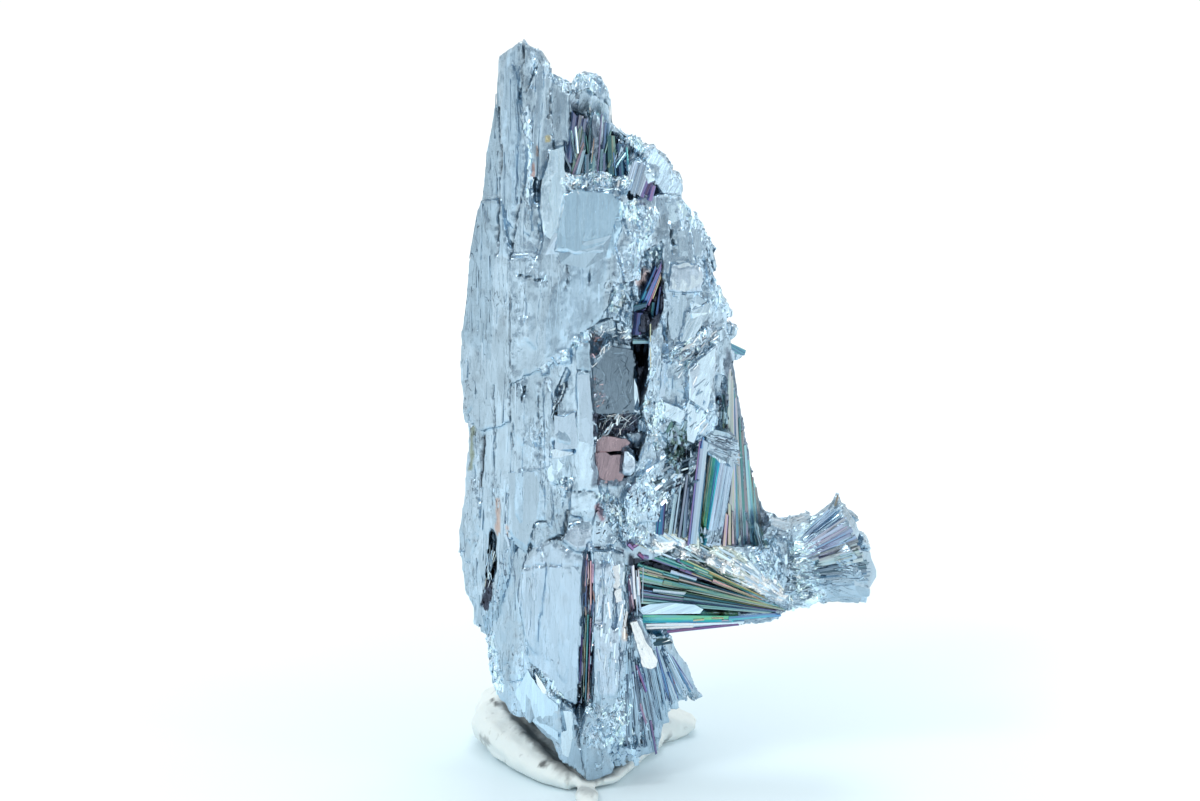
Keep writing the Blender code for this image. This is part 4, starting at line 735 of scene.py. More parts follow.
def split_by_height(mesh, name, limit):
    """The mesh as several of at most this many triangles, cut level, with the whole's normals."""
    mesh.calc_loop_triangles()
    parts = math.ceil(len(mesh.loop_triangles) / limit)
    starts = rows(mesh.polygons, "loop_start", kind=np.int32)
    totals = rows(mesh.polygons, "loop_total", kind=np.int32)
    corners = rows(mesh.loops, "vertex_index", kind=np.int32)
    normals = rows(mesh.corner_normals, "vector", 3)
    points = rows(mesh.vertices, "co", 3)
    order = np.argsort(points[corners[starts], 2], kind="stable")
    made = []
    for index, chosen in enumerate(np.array_split(order, parts)):
        chosen = np.sort(chosen)
        loops = np.concatenate([np.arange(starts[f], starts[f] + totals[f]) for f in chosen])
        used, new_corners = np.unique(corners[loops], return_inverse=True)
        part = bpy.data.meshes.new(f"{name}_{index}")
        part.vertices.add(len(used))
        part.vertices.foreach_set("co", points[used].ravel())
        part.loops.add(len(loops))
        part.loops.foreach_set("vertex_index", new_corners.astype(np.int32))
        part.polygons.add(len(chosen))
        new_starts = np.concatenate([[0], np.cumsum(totals[chosen])[:-1]]).astype(np.int32)
        part.polygons.foreach_set("loop_start", new_starts)
        part.update(calc_edges=True)
        part.shade_smooth()
        for layer in mesh.attributes:
            named = layer.name != "position" and not layer.name.startswith(".")
            if layer.domain == "POINT" and named and layer.data_type in LAYERS:
                values = rows(layer.data, *LAYERS[layer.data_type])
                set_layer(part, layer.name, layer.data_type, values[used])
        part.normals_split_custom_set(normals[loops].tolist())
        made.append(part)
    return made


class Probe:
    """Finds how deep the finished skin lies at a place in the display view."""

    def __init__(self, mesh):
        self.item = in_scene("probe", mesh)
        bpy.context.view_layer.update()

    def depth(self, across, up, otherwise=0.0):
        ray = sight_point(across, up, 0.0) - EYE
        hit, place, _, _ = self.item.ray_cast(Vector(EYE * MM), Vector(ray).normalized())
        return place.y / MM if hit else otherwise

    def lay(self, root, tip, raised, steps=5):
        """Root and tip with depths that keep a straight crystal just proud of the skin.

        The depths are nan where it would reach past the skin's edge.
        """
        shares = np.linspace(0.08, 0.92, steps)
        depths = [self.depth(*between(root, tip, share), math.nan) for share in shares]
        if np.isnan(depths).any():
            return (*root, math.nan), (*tip, math.nan)
        slope, start = np.polyfit(shares, depths, 1)
        over = max(start + slope * share - deep for share, deep in zip(shares, depths))
        start -= raised + 0.5 * max(over, 0.0)
        return (*root, start), (*tip, start + slope)

    def hugs(self, points, reach=0.16):
        """Which of these points lie on the skin, give or take this reach."""
        near = np.zeros(len(points), bool)
        for index, point in enumerate(points * MM):
            found, _, _, _ = self.item.closest_point_on_mesh(Vector(point), distance=reach * MM)
            near[index] = found
        return near

    def remove(self):
        bpy.data.objects.remove(self.item, do_unlink=True)


def build_stone():
    mesh = remeshed("stibnite", SKIN_VOXEL)
    skin = sculpt_stone(mesh)
    mesh.shade_smooth()
    mesh.set_sharp_from_angle(angle=math.radians(SKIN_CREASE))
    starts = rows(mesh.polygons, "loop_start", kind=np.int32)
    corners = rows(mesh.loops, "vertex_index", kind=np.int32)
    mesh.polygons.foreach_set("use_smooth", skin["grain"][corners[starts]] < SMOOTH_BELOW)
    mesh.update()
    material = stone_material()
    names = ("low", "middle", "high", "top")
    for name, part in zip(names, split_by_height(mesh, "stone", PIECE_LIMIT)):
        piece = add_piece(f"stone_skin_{name}", part, material)
        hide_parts("stibnite")
    return mesh, skin, material


# ---------------------------------------------------------------- chips and slivers on the skin

# Small crystals all over the skin: name, count, seed, length, width and thickness in mm, spread of
# their turn and tilt in degrees, and range of their tone.
CHIPS = [
    ("hackly_chips", 6500, 81, (0.3, 1.3), (0.12, 0.45), (0.04, 0.12), 24.0, 10.0, (0.8, 1.3)),
    ("specks", 4500, 83, (0.15, 0.55), (0.05, 0.16), (0.03, 0.07), 30.0, 7.0, (0.4, 1.4)),
    ("slivers", 1500, 82, (1.5, 6.5), (0.06, 0.3), (0.04, 0.10), 1.5, 0.6, (0.88, 1.12)),
]
CHIP_FACES = np.array([
    (0, 2, 3, 1), (4, 5, 7, 6), (0, 1, 5, 4), (2, 6, 7, 3), (0, 4, 6, 2), (1, 3, 7, 5),
])


def scatter(skin, probe, material, chance, name, count, seed, length, width, thick, turn, tilt, bright):
    """Small flat-faced crystals that stand on the skin, mostly along the growth.

    chance says how likely each place of the skin is, and the rest is a row of CHIPS.
    """
    points, grain, tint = skin["points"], skin["grain"], skin["tint"]
    rng = np.random.default_rng(seed)
    chosen = rng.choice(len(points), size=count, replace=False, p=chance / chance.sum())
    middle = points[chosen]
    normal = skin["normals"][chosen]
    across, up = seen_at(middle)
    in_arm = (across > 8.0) & (across < ARM_END) & (up < 27.5) & (up > 15.0)
    inward = (ARM_TIP[0] - across)[:, None] * ACROSS + (ARM_TIP[1] - up)[:, None] * UP
    aside, above = from_knob(across, up)
    outward = aside[:, None] * ACROSS + above[:, None] * UP
    grown = np.where(in_arm[:, None], inward, (0.0, 0.0, 1.0))
    grown = np.where((across >= ARM_END)[:, None], outward, grown)
    along = grown - (grown * normal).sum(axis=1)[:, None] * normal
    along /= np.linalg.norm(along, axis=1)[:, None] + 1e-9
    side = np.cross(normal, along)

    def turned(first, second, spread):
        angle = np.radians(rng.normal(0.0, spread, count))[:, None]
        return (
            first * np.cos(angle) + second * np.sin(angle),
            second * np.cos(angle) - first * np.sin(angle),
        )

    along, side = turned(along, side, turn)
    along, normal = turned(along, normal, tilt)
    side, normal = turned(side, normal, tilt)
    half = np.stack([rng.uniform(*size, count) for size in (width, thick, length)], axis=1) / 2.0
    corners = np.array([(x, y, z) for z, y, x in product((-1, 1), repeat=3)], float)
    taper = np.where(corners[:, 2:] > 0, rng.uniform(0.3, 1.0, (count, 1, 1)), 1.0)
    scaled = corners[None] * half[:, None]
    scaled[:, :, :2] *= taper
    scaled[:, :, 2] += scaled[:, :, 0] * rng.uniform(-1.0, 1.0, (count, 1))
    placed = (
        middle[:, None]
        + scaled[:, :, 0:1] * side[:, None]
        + scaled[:, :, 1:2] * normal[:, None]
        + scaled[:, :, 2:3] * along[:, None]
    )
    kept = probe.hugs(placed[:, :4].mean(axis=1)) & probe.hugs(placed[:, 4:].mean(axis=1))
    count = int(kept.sum())
    every = (CHIP_FACES[None] + 8 * np.arange(count)[:, None, None]).reshape(-1, 4)
    placed = placed[kept].reshape(-1, 3)
    placed[:, 2] = np.maximum(placed[:, 2], FOOT)
    mesh = bpy.data.meshes.new(name)
    mesh.from_pydata((placed * MM).tolist(), [], every.tolist())
    mesh.shade_flat()
    tone = rng.uniform(*bright, (count, 1)) * tint[chosen[kept]]
    set_tint(mesh, np.repeat(tone, 8, axis=0))
    set_float(mesh, "grain", np.repeat(0.3 * grain[chosen[kept]], 8))
    set_vector(mesh, "growth", growth_frame(placed))
    add_piece(name, mesh, material)


def build_chips(skin, probe, material):
    grain = skin["grain"]
    across, up = seen_at(skin["points"])
    free = (skin["points"][:, 2] > CHIPS_FROM) * 1.0
    for _, _, _, outline in CLEAVAGE:
        free[edge_distance(across, up, outline)[1]] = 0.0
    chances = (
        smooth_step(grain, 0.34, 0.7),
        smooth_step(grain, 0.12, 0.4),
        1.0 - smooth_step(grain, 0.15, 0.4),
    )
    for chance, row in zip(chances, CHIPS):
        scatter(skin, probe, material, chance * free + 1e-6, *row)


# ---------------------------------------------------------------- crisp crystals

# Places along the colours of a thin tarnish film, which turn over from 0 to 1.
PURPLE, BLUE, TEAL, GREEN, YELLOW, ORANGE, MAGENTA = 0.0, 0.14, 0.28, 0.42, 0.56, 0.70, 0.84
FILM = [
    (PURPLE, (0.20, 0.10, 0.34)),
    (BLUE, (0.06, 0.22, 0.56)),
    (TEAL, (0.04, 0.46, 0.54)),
    (GREEN, (0.13, 0.54, 0.34)),
    (YELLOW, (0.56, 0.58, 0.22)),
    (ORANGE, (0.66, 0.36, 0.22)),
    (MAGENTA, (0.40, 0.13, 0.32)),
]
CLEAN = [(TEAL, 0.0)]     # no film at all

# Crystals: root and tip as (across, up, depth), width, place on the film, its share, and tint.
CROWN_CRYSTALS = [
    ((-1.7, 71.6, -2.9), (-1.1, 77.4, -2.0), 0.8, PURPLE, 0.75, "dull"),
    ((-1.0, 72.6, -2.9), (-0.4, 77.2, -1.8), 0.8, MAGENTA, 0.45, "steel"),
    ((-0.3, 73.4, -2.9), (0.2, 76.8, -1.8), 0.7, PURPLE, 0.5, "steel"),
    ((-1.3, 70.2, -3.4), (-0.4, 75.6, -2.6), 0.75, GREEN + 0.08, 0.65, "steel"),
    ((-1.4, 70.0, -3.7), (0.0, 73.9, -3.2), 0.35, ORANGE, 0.8, "straw"),
    ((-0.9, 69.6, -3.6), (-0.1, 73.0, -3.1), 0.8, TEAL, 0.12, "steel"),
    ((0.4, 69.8, -3.6), (0.4, 72.6, -3.1), 0.7, TEAL, 0.12, "steel"),
    ((0.9, 70.0, -3.3), (0.2, 74.8, -2.5), 0.3, GREEN, 0.7, "slate"),
    ((0.6, 71.5, -3.0), (0.9, 76.9, -2.2), 0.5, YELLOW, 0.3, "dull"),
    ((1.1, 70.0, -3.4), (1.9, 77.4, -2.4), 1.1, GREEN - 0.04, 0.45, "steel"),
    ((1.6, 70.4, -3.9), (2.1, 77.3, -2.8), 0.22, PURPLE, 0.8, "dull"),
    ((0.9, 71.6, -3.9), (1.4, 76.0, -3.0), 0.16, ORANGE, 0.8, "straw"),
    ((2.3, 70.2, -3.1), (2.5, 76.4, -2.0), 0.6, PURPLE, 0.6, "dull"),
    ((2.0, 70.0, -3.5), (2.1, 73.2, -3.0), 0.5, GREEN, 0.3, "dull"),
    ((3.0, 72.5, -2.6), (2.9, 76.3, -1.8), 0.45, BLUE, 0.5, "dull"),
    ((3.3, 70.0, -3.2), (3.1, 74.8, -2.4), 1.25, GREEN, 0.45, "slate"),
    ((3.8, 70.0, -3.7), (3.5, 72.8, -3.2), 0.18, BLUE, 0.9, "steel"),
    ((4.5, 70.0, -3.0), (4.2, 73.8, -2.2), 1.0, BLUE, 0.5, "slate"),
    ((5.2, 70.6, -3.0), (5.0, 73.4, -2.4), 0.4, TEAL, 0.8, "slate"),
]
# Those tinted near black here, and in the column's and foot's tables, are painted shade.
LONG_POCKET_CRYSTALS = [
    ((7.0, 54.0, -3.0), (9.6, 60.0, -3.4), 1.0, PURPLE, 0.7, "slate"),
    ((7.7, 54.6, -3.7), (9.9, 60.2, -4.0), 0.3, MAGENTA, 0.85, "steel"),
    ((8.2, 55.4, -3.8), (9.9, 60.0, -4.0), 0.16, ORANGE, 0.9, "bright"),
    ((6.6, 54.4, -3.0), (8.6, 59.2, -3.2), 0.6, BLUE, 0.5, "dark"),
    ((8.6, 52.0, -3.0), (9.3, 57.0, -3.0), 0.9, PURPLE, 0.35, "dark"),
    ((7.8, 51.0, -2.8), (8.3, 55.0, -2.8), 0.7, TEAL, 0.25, "dark"),
    ((6.3, 51.2, -3.8), (6.6, 53.8, -3.9), 1.3, PURPLE, 0.3, "dark"),
    ((5.9, 54.2, -4.0), (7.4, 54.6, -4.0), 0.8, TEAL, 0.3, "slate"),
    ((5.8, 50.3, -4.2), (7.8, 50.3, -4.0), 0.8, TEAL, 0.25, "slate"),
]
COLUMN_CRYSTALS = [
    ((12.4, 26.0, -4.4), (13.8, 38.4, -4.5), 0.26, PURPLE, 0.75, "slate"),
    ((13.6, 27.0, -3.9), (14.4, 35.0, -4.1), 0.2, TEAL, 0.5, "slate"),
    ((14.0, 37.6, -4.4), (14.2, 39.0, -4.4), 0.5, BLUE, 0.6, "slate"),
    ((9.0, 27.4, -5.4), (9.3, 31.0, -5.2), 1.1, BLUE, 0.5, "dark"),
    ((10.2, 27.4, -5.2), (10.9, 32.2, -5.0), 0.5, TEAL, 0.1, "steel"),
    ((10.7, 27.4, -5.1), (11.5, 33.2, -4.9), 0.35, TEAL, 0.0, "dull"),
    ((11.3, 27.0, -4.9), (12.3, 34.4, -4.7), 0.5, PURPLE, 0.1, "slate"),
    ((11.9, 27.0, -4.7), (12.3, 33.0, -4.5), 0.6, BLUE, 0.15, "slate"),
    ((14.3, 39.8, -4.6), (14.5, 41.8, -4.6), 0.25, GREEN, 0.8, "slate"),
    ((16.7, 26.0, -2.2), (17.0, 29.8, -2.0), 0.7, ORANGE, 0.6, "steel"),
    ((17.3, 26.0, -1.8), (17.3, 31.0, -1.6), 0.6, YELLOW + 0.05, 0.5, "steel"),
    ((17.8, 26.0, -1.5), (17.6, 30.0, -1.2), 0.5, MAGENTA - 0.06, 0.5, "steel"),
]
ARM_CRYSTALS = [
    ((10.3, 22.9, -4.35), (13.4, 22.0, -4.25), 0.5, PURPLE, 0.15, "lilac"),
    ((8.2, 20.7, -4.6), (12.0, 20.3, -4.5), 0.6, GREEN, 0.08, "lilac"),
    ((17.2, 17.3, -4.1), (23.4, 17.8, -3.2), 0.6, (TEAL, BLUE), 0.9, "steel"),
    ((7.4, 16.4, -4.2), (19.0, 16.9, -3.6), 0.6, MAGENTA, 0.12, "bright"),
    ((9.9, 15.75, -4.3), (18.4, 16.65, -3.7), 0.4, PURPLE, 0.9, "slate"),
    ((13.0, 17.1, -4.22), (14.3, 17.2, -4.18), 0.3, YELLOW, 0.7, "steel"),
    ((15.2, 17.4, -4.14), (16.6, 17.35, -4.06), 0.3, YELLOW, 0.7, "steel"),
    ((16.4, 17.1, -4.0), (17.6, 17.1, -3.94), 0.3, MAGENTA, 0.3, "mist"),
    ((5.3, 26.2, -5.8), (5.9, 25.6, -5.8), 0.6, MAGENTA, 0.8, "slate"),
    ((5.9, 25.9, -5.8), (6.4, 26.2, -5.8), 0.5, MAGENTA - 0.05, 0.7, "slate"),
    ((6.5, 25.0, -5.4), (7.1, 24.5, -5.4), 0.55, MAGENTA, 0.8, "slate"),
    ((7.0, 24.7, -5.4), (7.7, 24.5, -5.4), 0.4, PURPLE, 0.7, "steel"),
    ((7.4, 16.2, -4.3), (13.0, 16.4, -4.0), 0.5, TEAL, 0.0, "white"),
]
FOOT_CRYSTALS = [
    ((-0.1, 18.0, -6.4), (-0.6, 7.4, -6.9), 0.25, PURPLE, 0.8, "slate"),
    ((0.2, 17.6, -6.35), (-0.1, 8.0, -6.85), 0.22, YELLOW, 0.7, "steel"),
    ((0.5, 17.8, -6.75), (0.2, 7.8, -7.25), 0.28, GREEN, 0.6, "slate"),
    ((0.8, 17.4, -6.95), (0.5, 8.4, -7.45), 0.2, ORANGE, 0.8, "slate"),
    ((0.3, 24.3, -6.6), (0.2, 18.8, -6.8), 0.35, PURPLE, 0.5, "slate"),
    ((0.8, 24.2, -6.6), (0.8, 19.0, -6.8), 0.3, ORANGE, 0.5, "rust"),
    ((6.2, 11.8, -7.25), (7.4, 8.6, -7.15), 0.4, PURPLE, 0.7, "slate"),
    ((6.6, 7.2, -6.7), (7.4, 4.8, -6.5), 0.35, MAGENTA, 0.6, "slate"),
    ((7.9, 5.2, -7.6), (8.6, 1.2, -7.2), 0.3, PURPLE, 0.6, "slate"),
    ((7.9, 14.3, -5.2), (10.3, 14.7, -4.8), 0.9, TEAL, 0.1, "dark"),
    ((8.8, 14.4, -5.25), (10.2, 14.75, -5.05), 0.25, TEAL, 0.0, "white"),
]

# Cleavage plates: tint, how far they stand proud in mm, direction of their striae, and outline.
CLEAVAGE = [
    ("steel", 0.06, 60,
     [(-1.7, 80.0), (-0.4, 80.5), (0.8, 79.4), (0.7, 77.9), (-0.6, 77.5), (-1.8, 78.4)]),
    ("sheen", 0.0, 92,
     [(-4, 73), (-2.4, 73.5), (-2.2, 67.5), (-2.9, 63.8), (-3.3, 62.5), (-3.9, 62.4), (-4.5, 62.8),
      (-5.0, 66), (-4.8, 69)]),
    ("sky", 0.05, 88,
     [(-2.2, 67.6), (-1.3, 68.3), (0.2, 68.1), (3.3, 67.9), (4.3, 66.6), (3.5, 64), (2.9, 62.4),
      (1, 61.4), (-1, 61.0), (-3.4, 61.9), (-3.1, 63.4), (-2.7, 65)]),
    ("dull", 0.06, 60,
     [(7.4, 72), (8.4, 73.4), (10.2, 71.2), (11.7, 69), (11.5, 67.8), (9.4, 68), (8.4, 69.6),
      (7.7, 71)]),
    ("pale", 0.10, 80, [(0.9, 79.6), (2.6, 79.4), (3.0, 77.6), (2.95, 75.8), (2.2, 76.4), (0.8, 77.8)]),
    ("bright", 0.0, 88,
     [(10.7, 59.3), (12.4, 59.7), (13.6, 59.0), (14.2, 57.5), (13.2, 56.8), (12.0, 56.2),
      (10.4, 56.6)]),
    ("pearl", 0.04, 88,
     [(10.3, 55.6), (13.4, 55.9), (14.6, 55.0), (12.3, 53.7), (11.2, 50.6), (10.3, 50.4), (10.0, 53)]),
    ("sheen", 0.03, 80, [(9.7, 66.8), (11.4, 67.1), (12.4, 65.8), (11.4, 64.2), (10.2, 64.4)]),
    ("pearl", 0.03, 80, [(11.2, 63.4), (13.2, 63.8), (14.2, 62.4), (14.0, 60.6), (11.4, 60.4)]),
    ("mist", 0.03, 85, [(9.0, 50.2), (10.0, 50.0), (10.4, 47.0), (10.0, 44.0), (8.9, 43.6), (8.6, 47)]),
    ("pale", 0.10, 62, [(12.3, 53.5), (15, 55), (14.9, 53.3), (12.8, 50.5), (11.6, 50.2)]),
    ("pale", 0.10, 75, [(12.5, 47), (15.7, 49.6), (15.2, 44.5), (14.6, 42), (12.5, 43.5)]),
    ("sheen", 0.10, 62, [(12.6, 54.9), (14.6, 55.4), (14.7, 53.6), (13.0, 53.0)]),
    ("pale", 0.08, 70, [(9.8, 43), (12, 42), (11.5, 40.5), (9.6, 41.4)]),
    ("pale", 0.08, 80, [(12.3, 43), (14.3, 42), (13.1, 38.2), (12.3, 38.5)]),
    ("shade", 0.25, 84,
     [(1.0, 47.6), (3.1, 49.7), (5.85, 49.2), (5.95, 45), (5.95, 41.8), (1.1, 41.7)]),
    ("pale", 0.5, 88, [(5.9, 45.8), (6.4, 44.3), (6.5, 41.9), (6.0, 42.2)]),
    ("steel", 0.02, 90, [(-9, 34.6), (-5.4, 34.8), (-5.0, 29.3), (-6, 28.7), (-6.8, 26), (-8.5, 27.4)]),
    ("mist", 0.0, 90,
     [(-4.1, 23.4), (-1.2, 23.5), (-0.5, 22.6), (-0.6, 16), (-0.9, 9), (-2.6, 8.4), (-3.6, 9.4),
      (-4.2, 14), (-3.9, 18)]),
    ("mist", 0.06, 90, [(-0.8, 46.4), (0.65, 46.4), (1.0, 41), (1.2, 38.0), (-0.6, 38.4), (-0.6, 41)]),
    ("bright", 0.08, 88, [(-2.9, 6.4), (-1.4, 6.2), (-1.3, 0.5), (-2.6, 1.2)]),
    ("pale", 0.14, 88,
     [(-8.2, 8.6), (-6.7, 11.2), (-5.2, 8.8), (-3.1, 7.0), (-3.1, 2.8), (-5.2, 4.4), (-7.4, 6.0)]),
    ("pale", 0.06, 64, [(-4.3, 35.2), (-3.1, 36.4), (-2.5, 35.7), (-3.7, 33.6), (-4.4, 33.7)]),
    ("pearl", 0.05, 20, [(-4.2, 36.5), (-2.9, 36.1), (-2.4, 36.0), (-2.3, 35.0), (-3.3, 34.6)]),
    ("mist", 0.14, 85, [(-3.6, 41.5), (-2.4, 41.3), (-1.0, 41.9), (-0.8, 37.6), (-3.4, 37.3)]),
    ("pale", 0.22, 70, [(-3.9, 37.4), (-1.6, 37.7), (-1.3, 36.9), (-3.6, 36.4)]),
    ("steel", 0.05, 70,
     [(32.4, 25.6), (34.1, 25.1), (34.3, 24.2), (34.8, 23), (34.8, 22.3), (34.1, 21.1), (32.2, 21.2),
      (31.8, 23.2)]),
]

# Plates that lean back: tint, how far off the skin, lean, the angle of their striae, and outline.
PANELS = [
    ("rust", 0.6, 0.16, 88,
     [(1.2, 38.2), (2.3, 39), (5, 38.7), (5.5, 38.2), (4.5, 37.3), (2.6, 37.2), (1.2, 37.15)]),
    ("rust", 0.6, 0.22, 80,
     [(1.2, 37.05), (2.6, 37.1), (3.2, 36.7), (4.6, 36.8), (4.5, 35.8), (5.0, 34.8), (4.5, 33.7),
      (1.4, 33.3)]),
    ("white", 0.9, 0.14, 112,
     [(5.5, 16.8), (6.3, 17.0), (7.2, 15.0), (8.75, 12.3), (8.6, 11.6), (8.0, 11.3), (7.0, 11.6),
      (6.5, 13.4)]),
    ("white", 0.45, 0.14, 92, [(3.3, 23.5), (4.1, 23.7), (4.35, 21.3), (3.9, 20.8), (3.45, 21.1)]),
    ("white", 0.45, 0.14, 92, [(3.65, 20.6), (4.45, 20.9), (4.55, 19.4), (3.8, 19.2)]),
]

# Plates whose corners each lie on the skin: tint, how far they stand proud in mm, and outline.
COVERS = [
    ("dull", 0.10, [(-3.2, 62.9), (0.2, 62.2), (0.1, 59.0), (-2.8, 59.6)]),
    ("dull", 0.10, [(0.2, 62.2), (3.3, 63.0), (2.6, 60.4), (0.1, 59.0)]),
    ("mist", 0.04, [(-4.9, 63.2), (-3.0, 63.2), (-2.9, 60.8), (-4.7, 60.6)]),
]

# The knob's bands: up to what share of its sheaf, place on the film, its share, and tint.
KNOB_BANDS = [
    (0.20, BLUE, 0.3, "steel"),
    (0.34, MAGENTA, 0.35, "steel"),
    (0.44, PURPLE, 0.4, "dull"),
    (0.54, ORANGE, 0.3, "dull"),
    (0.66, YELLOW, 0.3, "mist"),
    (0.76, TEAL, 0.1, "slate"),
    (1.01, TEAL, 0.0, "steel"),
]


class Cluster:
    """Flat-faced crystals gathered into one mesh, with what their material needs to know."""

    def __init__(self, name, probe, seed):
        self.name = name
        self.probe = probe
        self.rng = np.random.default_rng(seed)
        self.points = []
        self.faces = []
        self.run = []
        self.film = []
        self.tint = []
        self.count = 0

    def pick(self, names):
        """One of these names, by chance; a name that is there twice is twice as likely."""
        return self.rng.choice(names.split())

    def solid(self, near, far, flat, shift, offset, films, colour):
        """A closed solid between two outlines with as many corners.

        flat and shift say where its material's striae run, films and colour how it is tarnished.
        """
        count, first = len(near), self.count
        self.points.append(np.concatenate([near, far]))
        for index in range(count):
            after = (index + 1) % count
            self.faces.append((first + index, first + after,
                               first + count + after, first + count + index))
        self.faces.append(tuple(first + index for index in reversed(range(count))))
        self.faces.append(tuple(first + count + index for index in range(count)))
        self.count += 2 * count
        self.run.append(np.concatenate([flat, flat + shift]) + offset)
        self.film.append(films)
        self.tint.append(np.tile(colour, (2 * count, 1)))

    def prism(self, root, tip, width, hue, film, tint, sides=6, taper=0.9):
        """A flattened prism from root to tip, both (across, up, depth), with a slanted end."""
        rng = self.rng
        if math.isnan(root[2]):
            return
        roll = math.radians(rng.uniform(-18.0, 18.0))
        slant = rng.uniform(-0.9, 0.9)
        start = sight_point(*root)
        end = sight_point(*tip)
        along = end - start
        length = np.linalg.norm(along)
        along /= length
        side = np.cross((0.0, -1.0, 0.0), along)
        side /= np.linalg.norm(side)
        facing = np.cross(along, side)
        angles = 2.0 * math.pi * (np.arange(sides) + (0.5 if sides == 4 else 0.0)) / sides
        x = 0.5 * width * np.cos(angles) * (1.3 if sides == 4 else 1.0)
        y = 0.5 * (0.8 * width) * np.sin(angles)
        x, y = x * math.cos(roll) - y * math.sin(roll), x * math.sin(roll) + y * math.cos(roll)
        ring = x[:, None] * side + y[:, None] * facing
        flat = np.stack([x, y, np.zeros(sides)], axis=1)
        offset = rng.uniform(0.0, 50.0, 3)
        ends = hue if isinstance(hue, tuple) else (hue, hue)
        drift = rng.uniform(-0.03, 0.03)
        films = np.repeat([[ends[0] + drift, film, 0.0], [ends[1] + drift, film, 0.0]], sides, axis=0)
        colour = np.array(TINTS[tint]) * rng.uniform(0.85, 1.15)
        self.solid(start + ring, end + taper * ring + (slant * x)[:, None] * along,
                   flat, (0.0, 0.0, length), offset, films, colour)

    def slab(self, corners, hue=0.0, film=0.0, tint="steel", back=1.0, striae=None):
        """A flat-faced plate: its front outline as (across, up, depth) corners.

        Its striae run at this angle in the display view, or else along the first edge.
        """
        if any(math.isnan(corner[2]) for corner in corners):
            return
        front = np.array([sight_point(*corner) for corner in corners])
        along = front[1] - front[0]
        if striae is not None:
            along = math.cos(math.radians(striae)) * ACROSS + math.sin(math.radians(striae)) * UP
        along /= np.linalg.norm(along)
        side = np.cross((0.0, -1.0, 0.0), along)
        side /= np.linalg.norm(side)
        away = front - front[0]
        flat = np.stack([away @ side, np.zeros(len(front)), away @ along], axis=1)
        shift = (0.0, back, 0.0)
        offset = self.rng.uniform(0.0, 50.0, 3)
        films = np.tile((hue, film, 0.0), (2 * len(front), 1))
        colour = np.array(TINTS[tint]) * self.rng.uniform(0.96, 1.04)
        self.solid(front, front + shift, flat, shift, offset, films, colour)

    def slip(self, outline, deep, hue, film, tint, back):
        """A slab that faces the viewer squarely, all at one depth."""
        self.slab([(*corner, deep) for corner in outline], hue, film, tint, back)

    def plate(self, outline, tint, raised, striae, lean=None):
        """A flat cleavage plate on the skin: a plane fitted to the skin inside its outline.

        With a lean, in mm of depth for each mm of height, it stands at the skin's middle depth.
        """
        rng = self.rng
        corners = np.array(outline, float)
        edge = []
        for first, second in zip(corners, np.roll(corners, -1, axis=0)):
            steps = max(1, int(np.linalg.norm(second - first) / PLATE_STEP))
            for step in range(steps):
                jog = rng.normal(0.0, PLATE_JOG, 2) if step else (0.0, 0.0)
                edge.append(first + (second - first) * step / steps + jog)
        edge = np.array(edge)
        spots = rng.uniform(corners.min(axis=0), corners.max(axis=0), (PLATE_SPOTS, 2))
        spots = spots[edge_distance(spots[:, 0], spots[:, 1], outline)[1]]
        depths = np.array([self.probe.depth(*spot) for spot in spots])
        kept = np.abs(depths - np.median(depths)) < 1.5
        for reach in (0.6, 0.35):
            system = np.column_stack([spots, np.ones(len(spots))])
            fit = np.linalg.lstsq(system[kept], depths[kept], rcond=None)[0]
            kept = np.abs(depths - system @ fit) < reach
        if lean is not None:
            fit = np.array([0.0, lean, np.median(depths) - lean * corners[:, 1].mean()])
        placed = edge @ fit[:2] + fit[2] - raised
        laid = [(*corner, deep) for corner, deep in zip(edge, placed)]
        self.slab(laid, 0.0, 0.0, tint, PLATE_THICK, striae)

    def facet(self, left, right, stripes):
        """A crystal face between two edges, each (root, tip), in stripes of (hue, film, tint)."""
        left, right = np.array(left), np.array(right)
        for index, (hue, film, tint) in enumerate(stripes):
            near = left + (right - left) * index / len(stripes)
            far = left + (right - left) * (index + 1) / len(stripes)
            self.slab([near[0], near[1], far[1], far[0]], hue, film, tint, 1.2)

    def strew(self, outline, count, length, width, toward, tints, films=CLEAN, spread=12.0, raised=0.05):
        """Blades laid on the skin inside an outline, all pointing roughly towards one place."""
        rng = self.rng
        corners = np.array(outline, float)
        low, high = corners.min(axis=0), corners.max(axis=0)
        tints = tints.split()
        laid = 0
        while laid < count:
            middle = rng.uniform(low, high)
            if not edge_distance(middle[:1], middle[1:], outline)[1][0]:
                continue
            laid += 1
            aim = np.array(toward) - middle
            angle = math.atan2(aim[1], aim[0]) + math.radians(rng.normal(0.0, spread))
            half = 0.5 * rng.uniform(*length) * np.array([math.cos(angle), math.sin(angle)])
            root, tip = self.probe.lay(tuple(middle - half), tuple(middle + half), raised, steps=3)
            if abs(root[2] - tip[2]) > 2.5 * np.linalg.norm(half):
                continue
            hue, film = films[rng.integers(len(films))]
            wide, tint = rng.uniform(*width), tints[rng.integers(len(tints))]
            self.prism(root, tip, wide, hue, film, tint, sides=4)

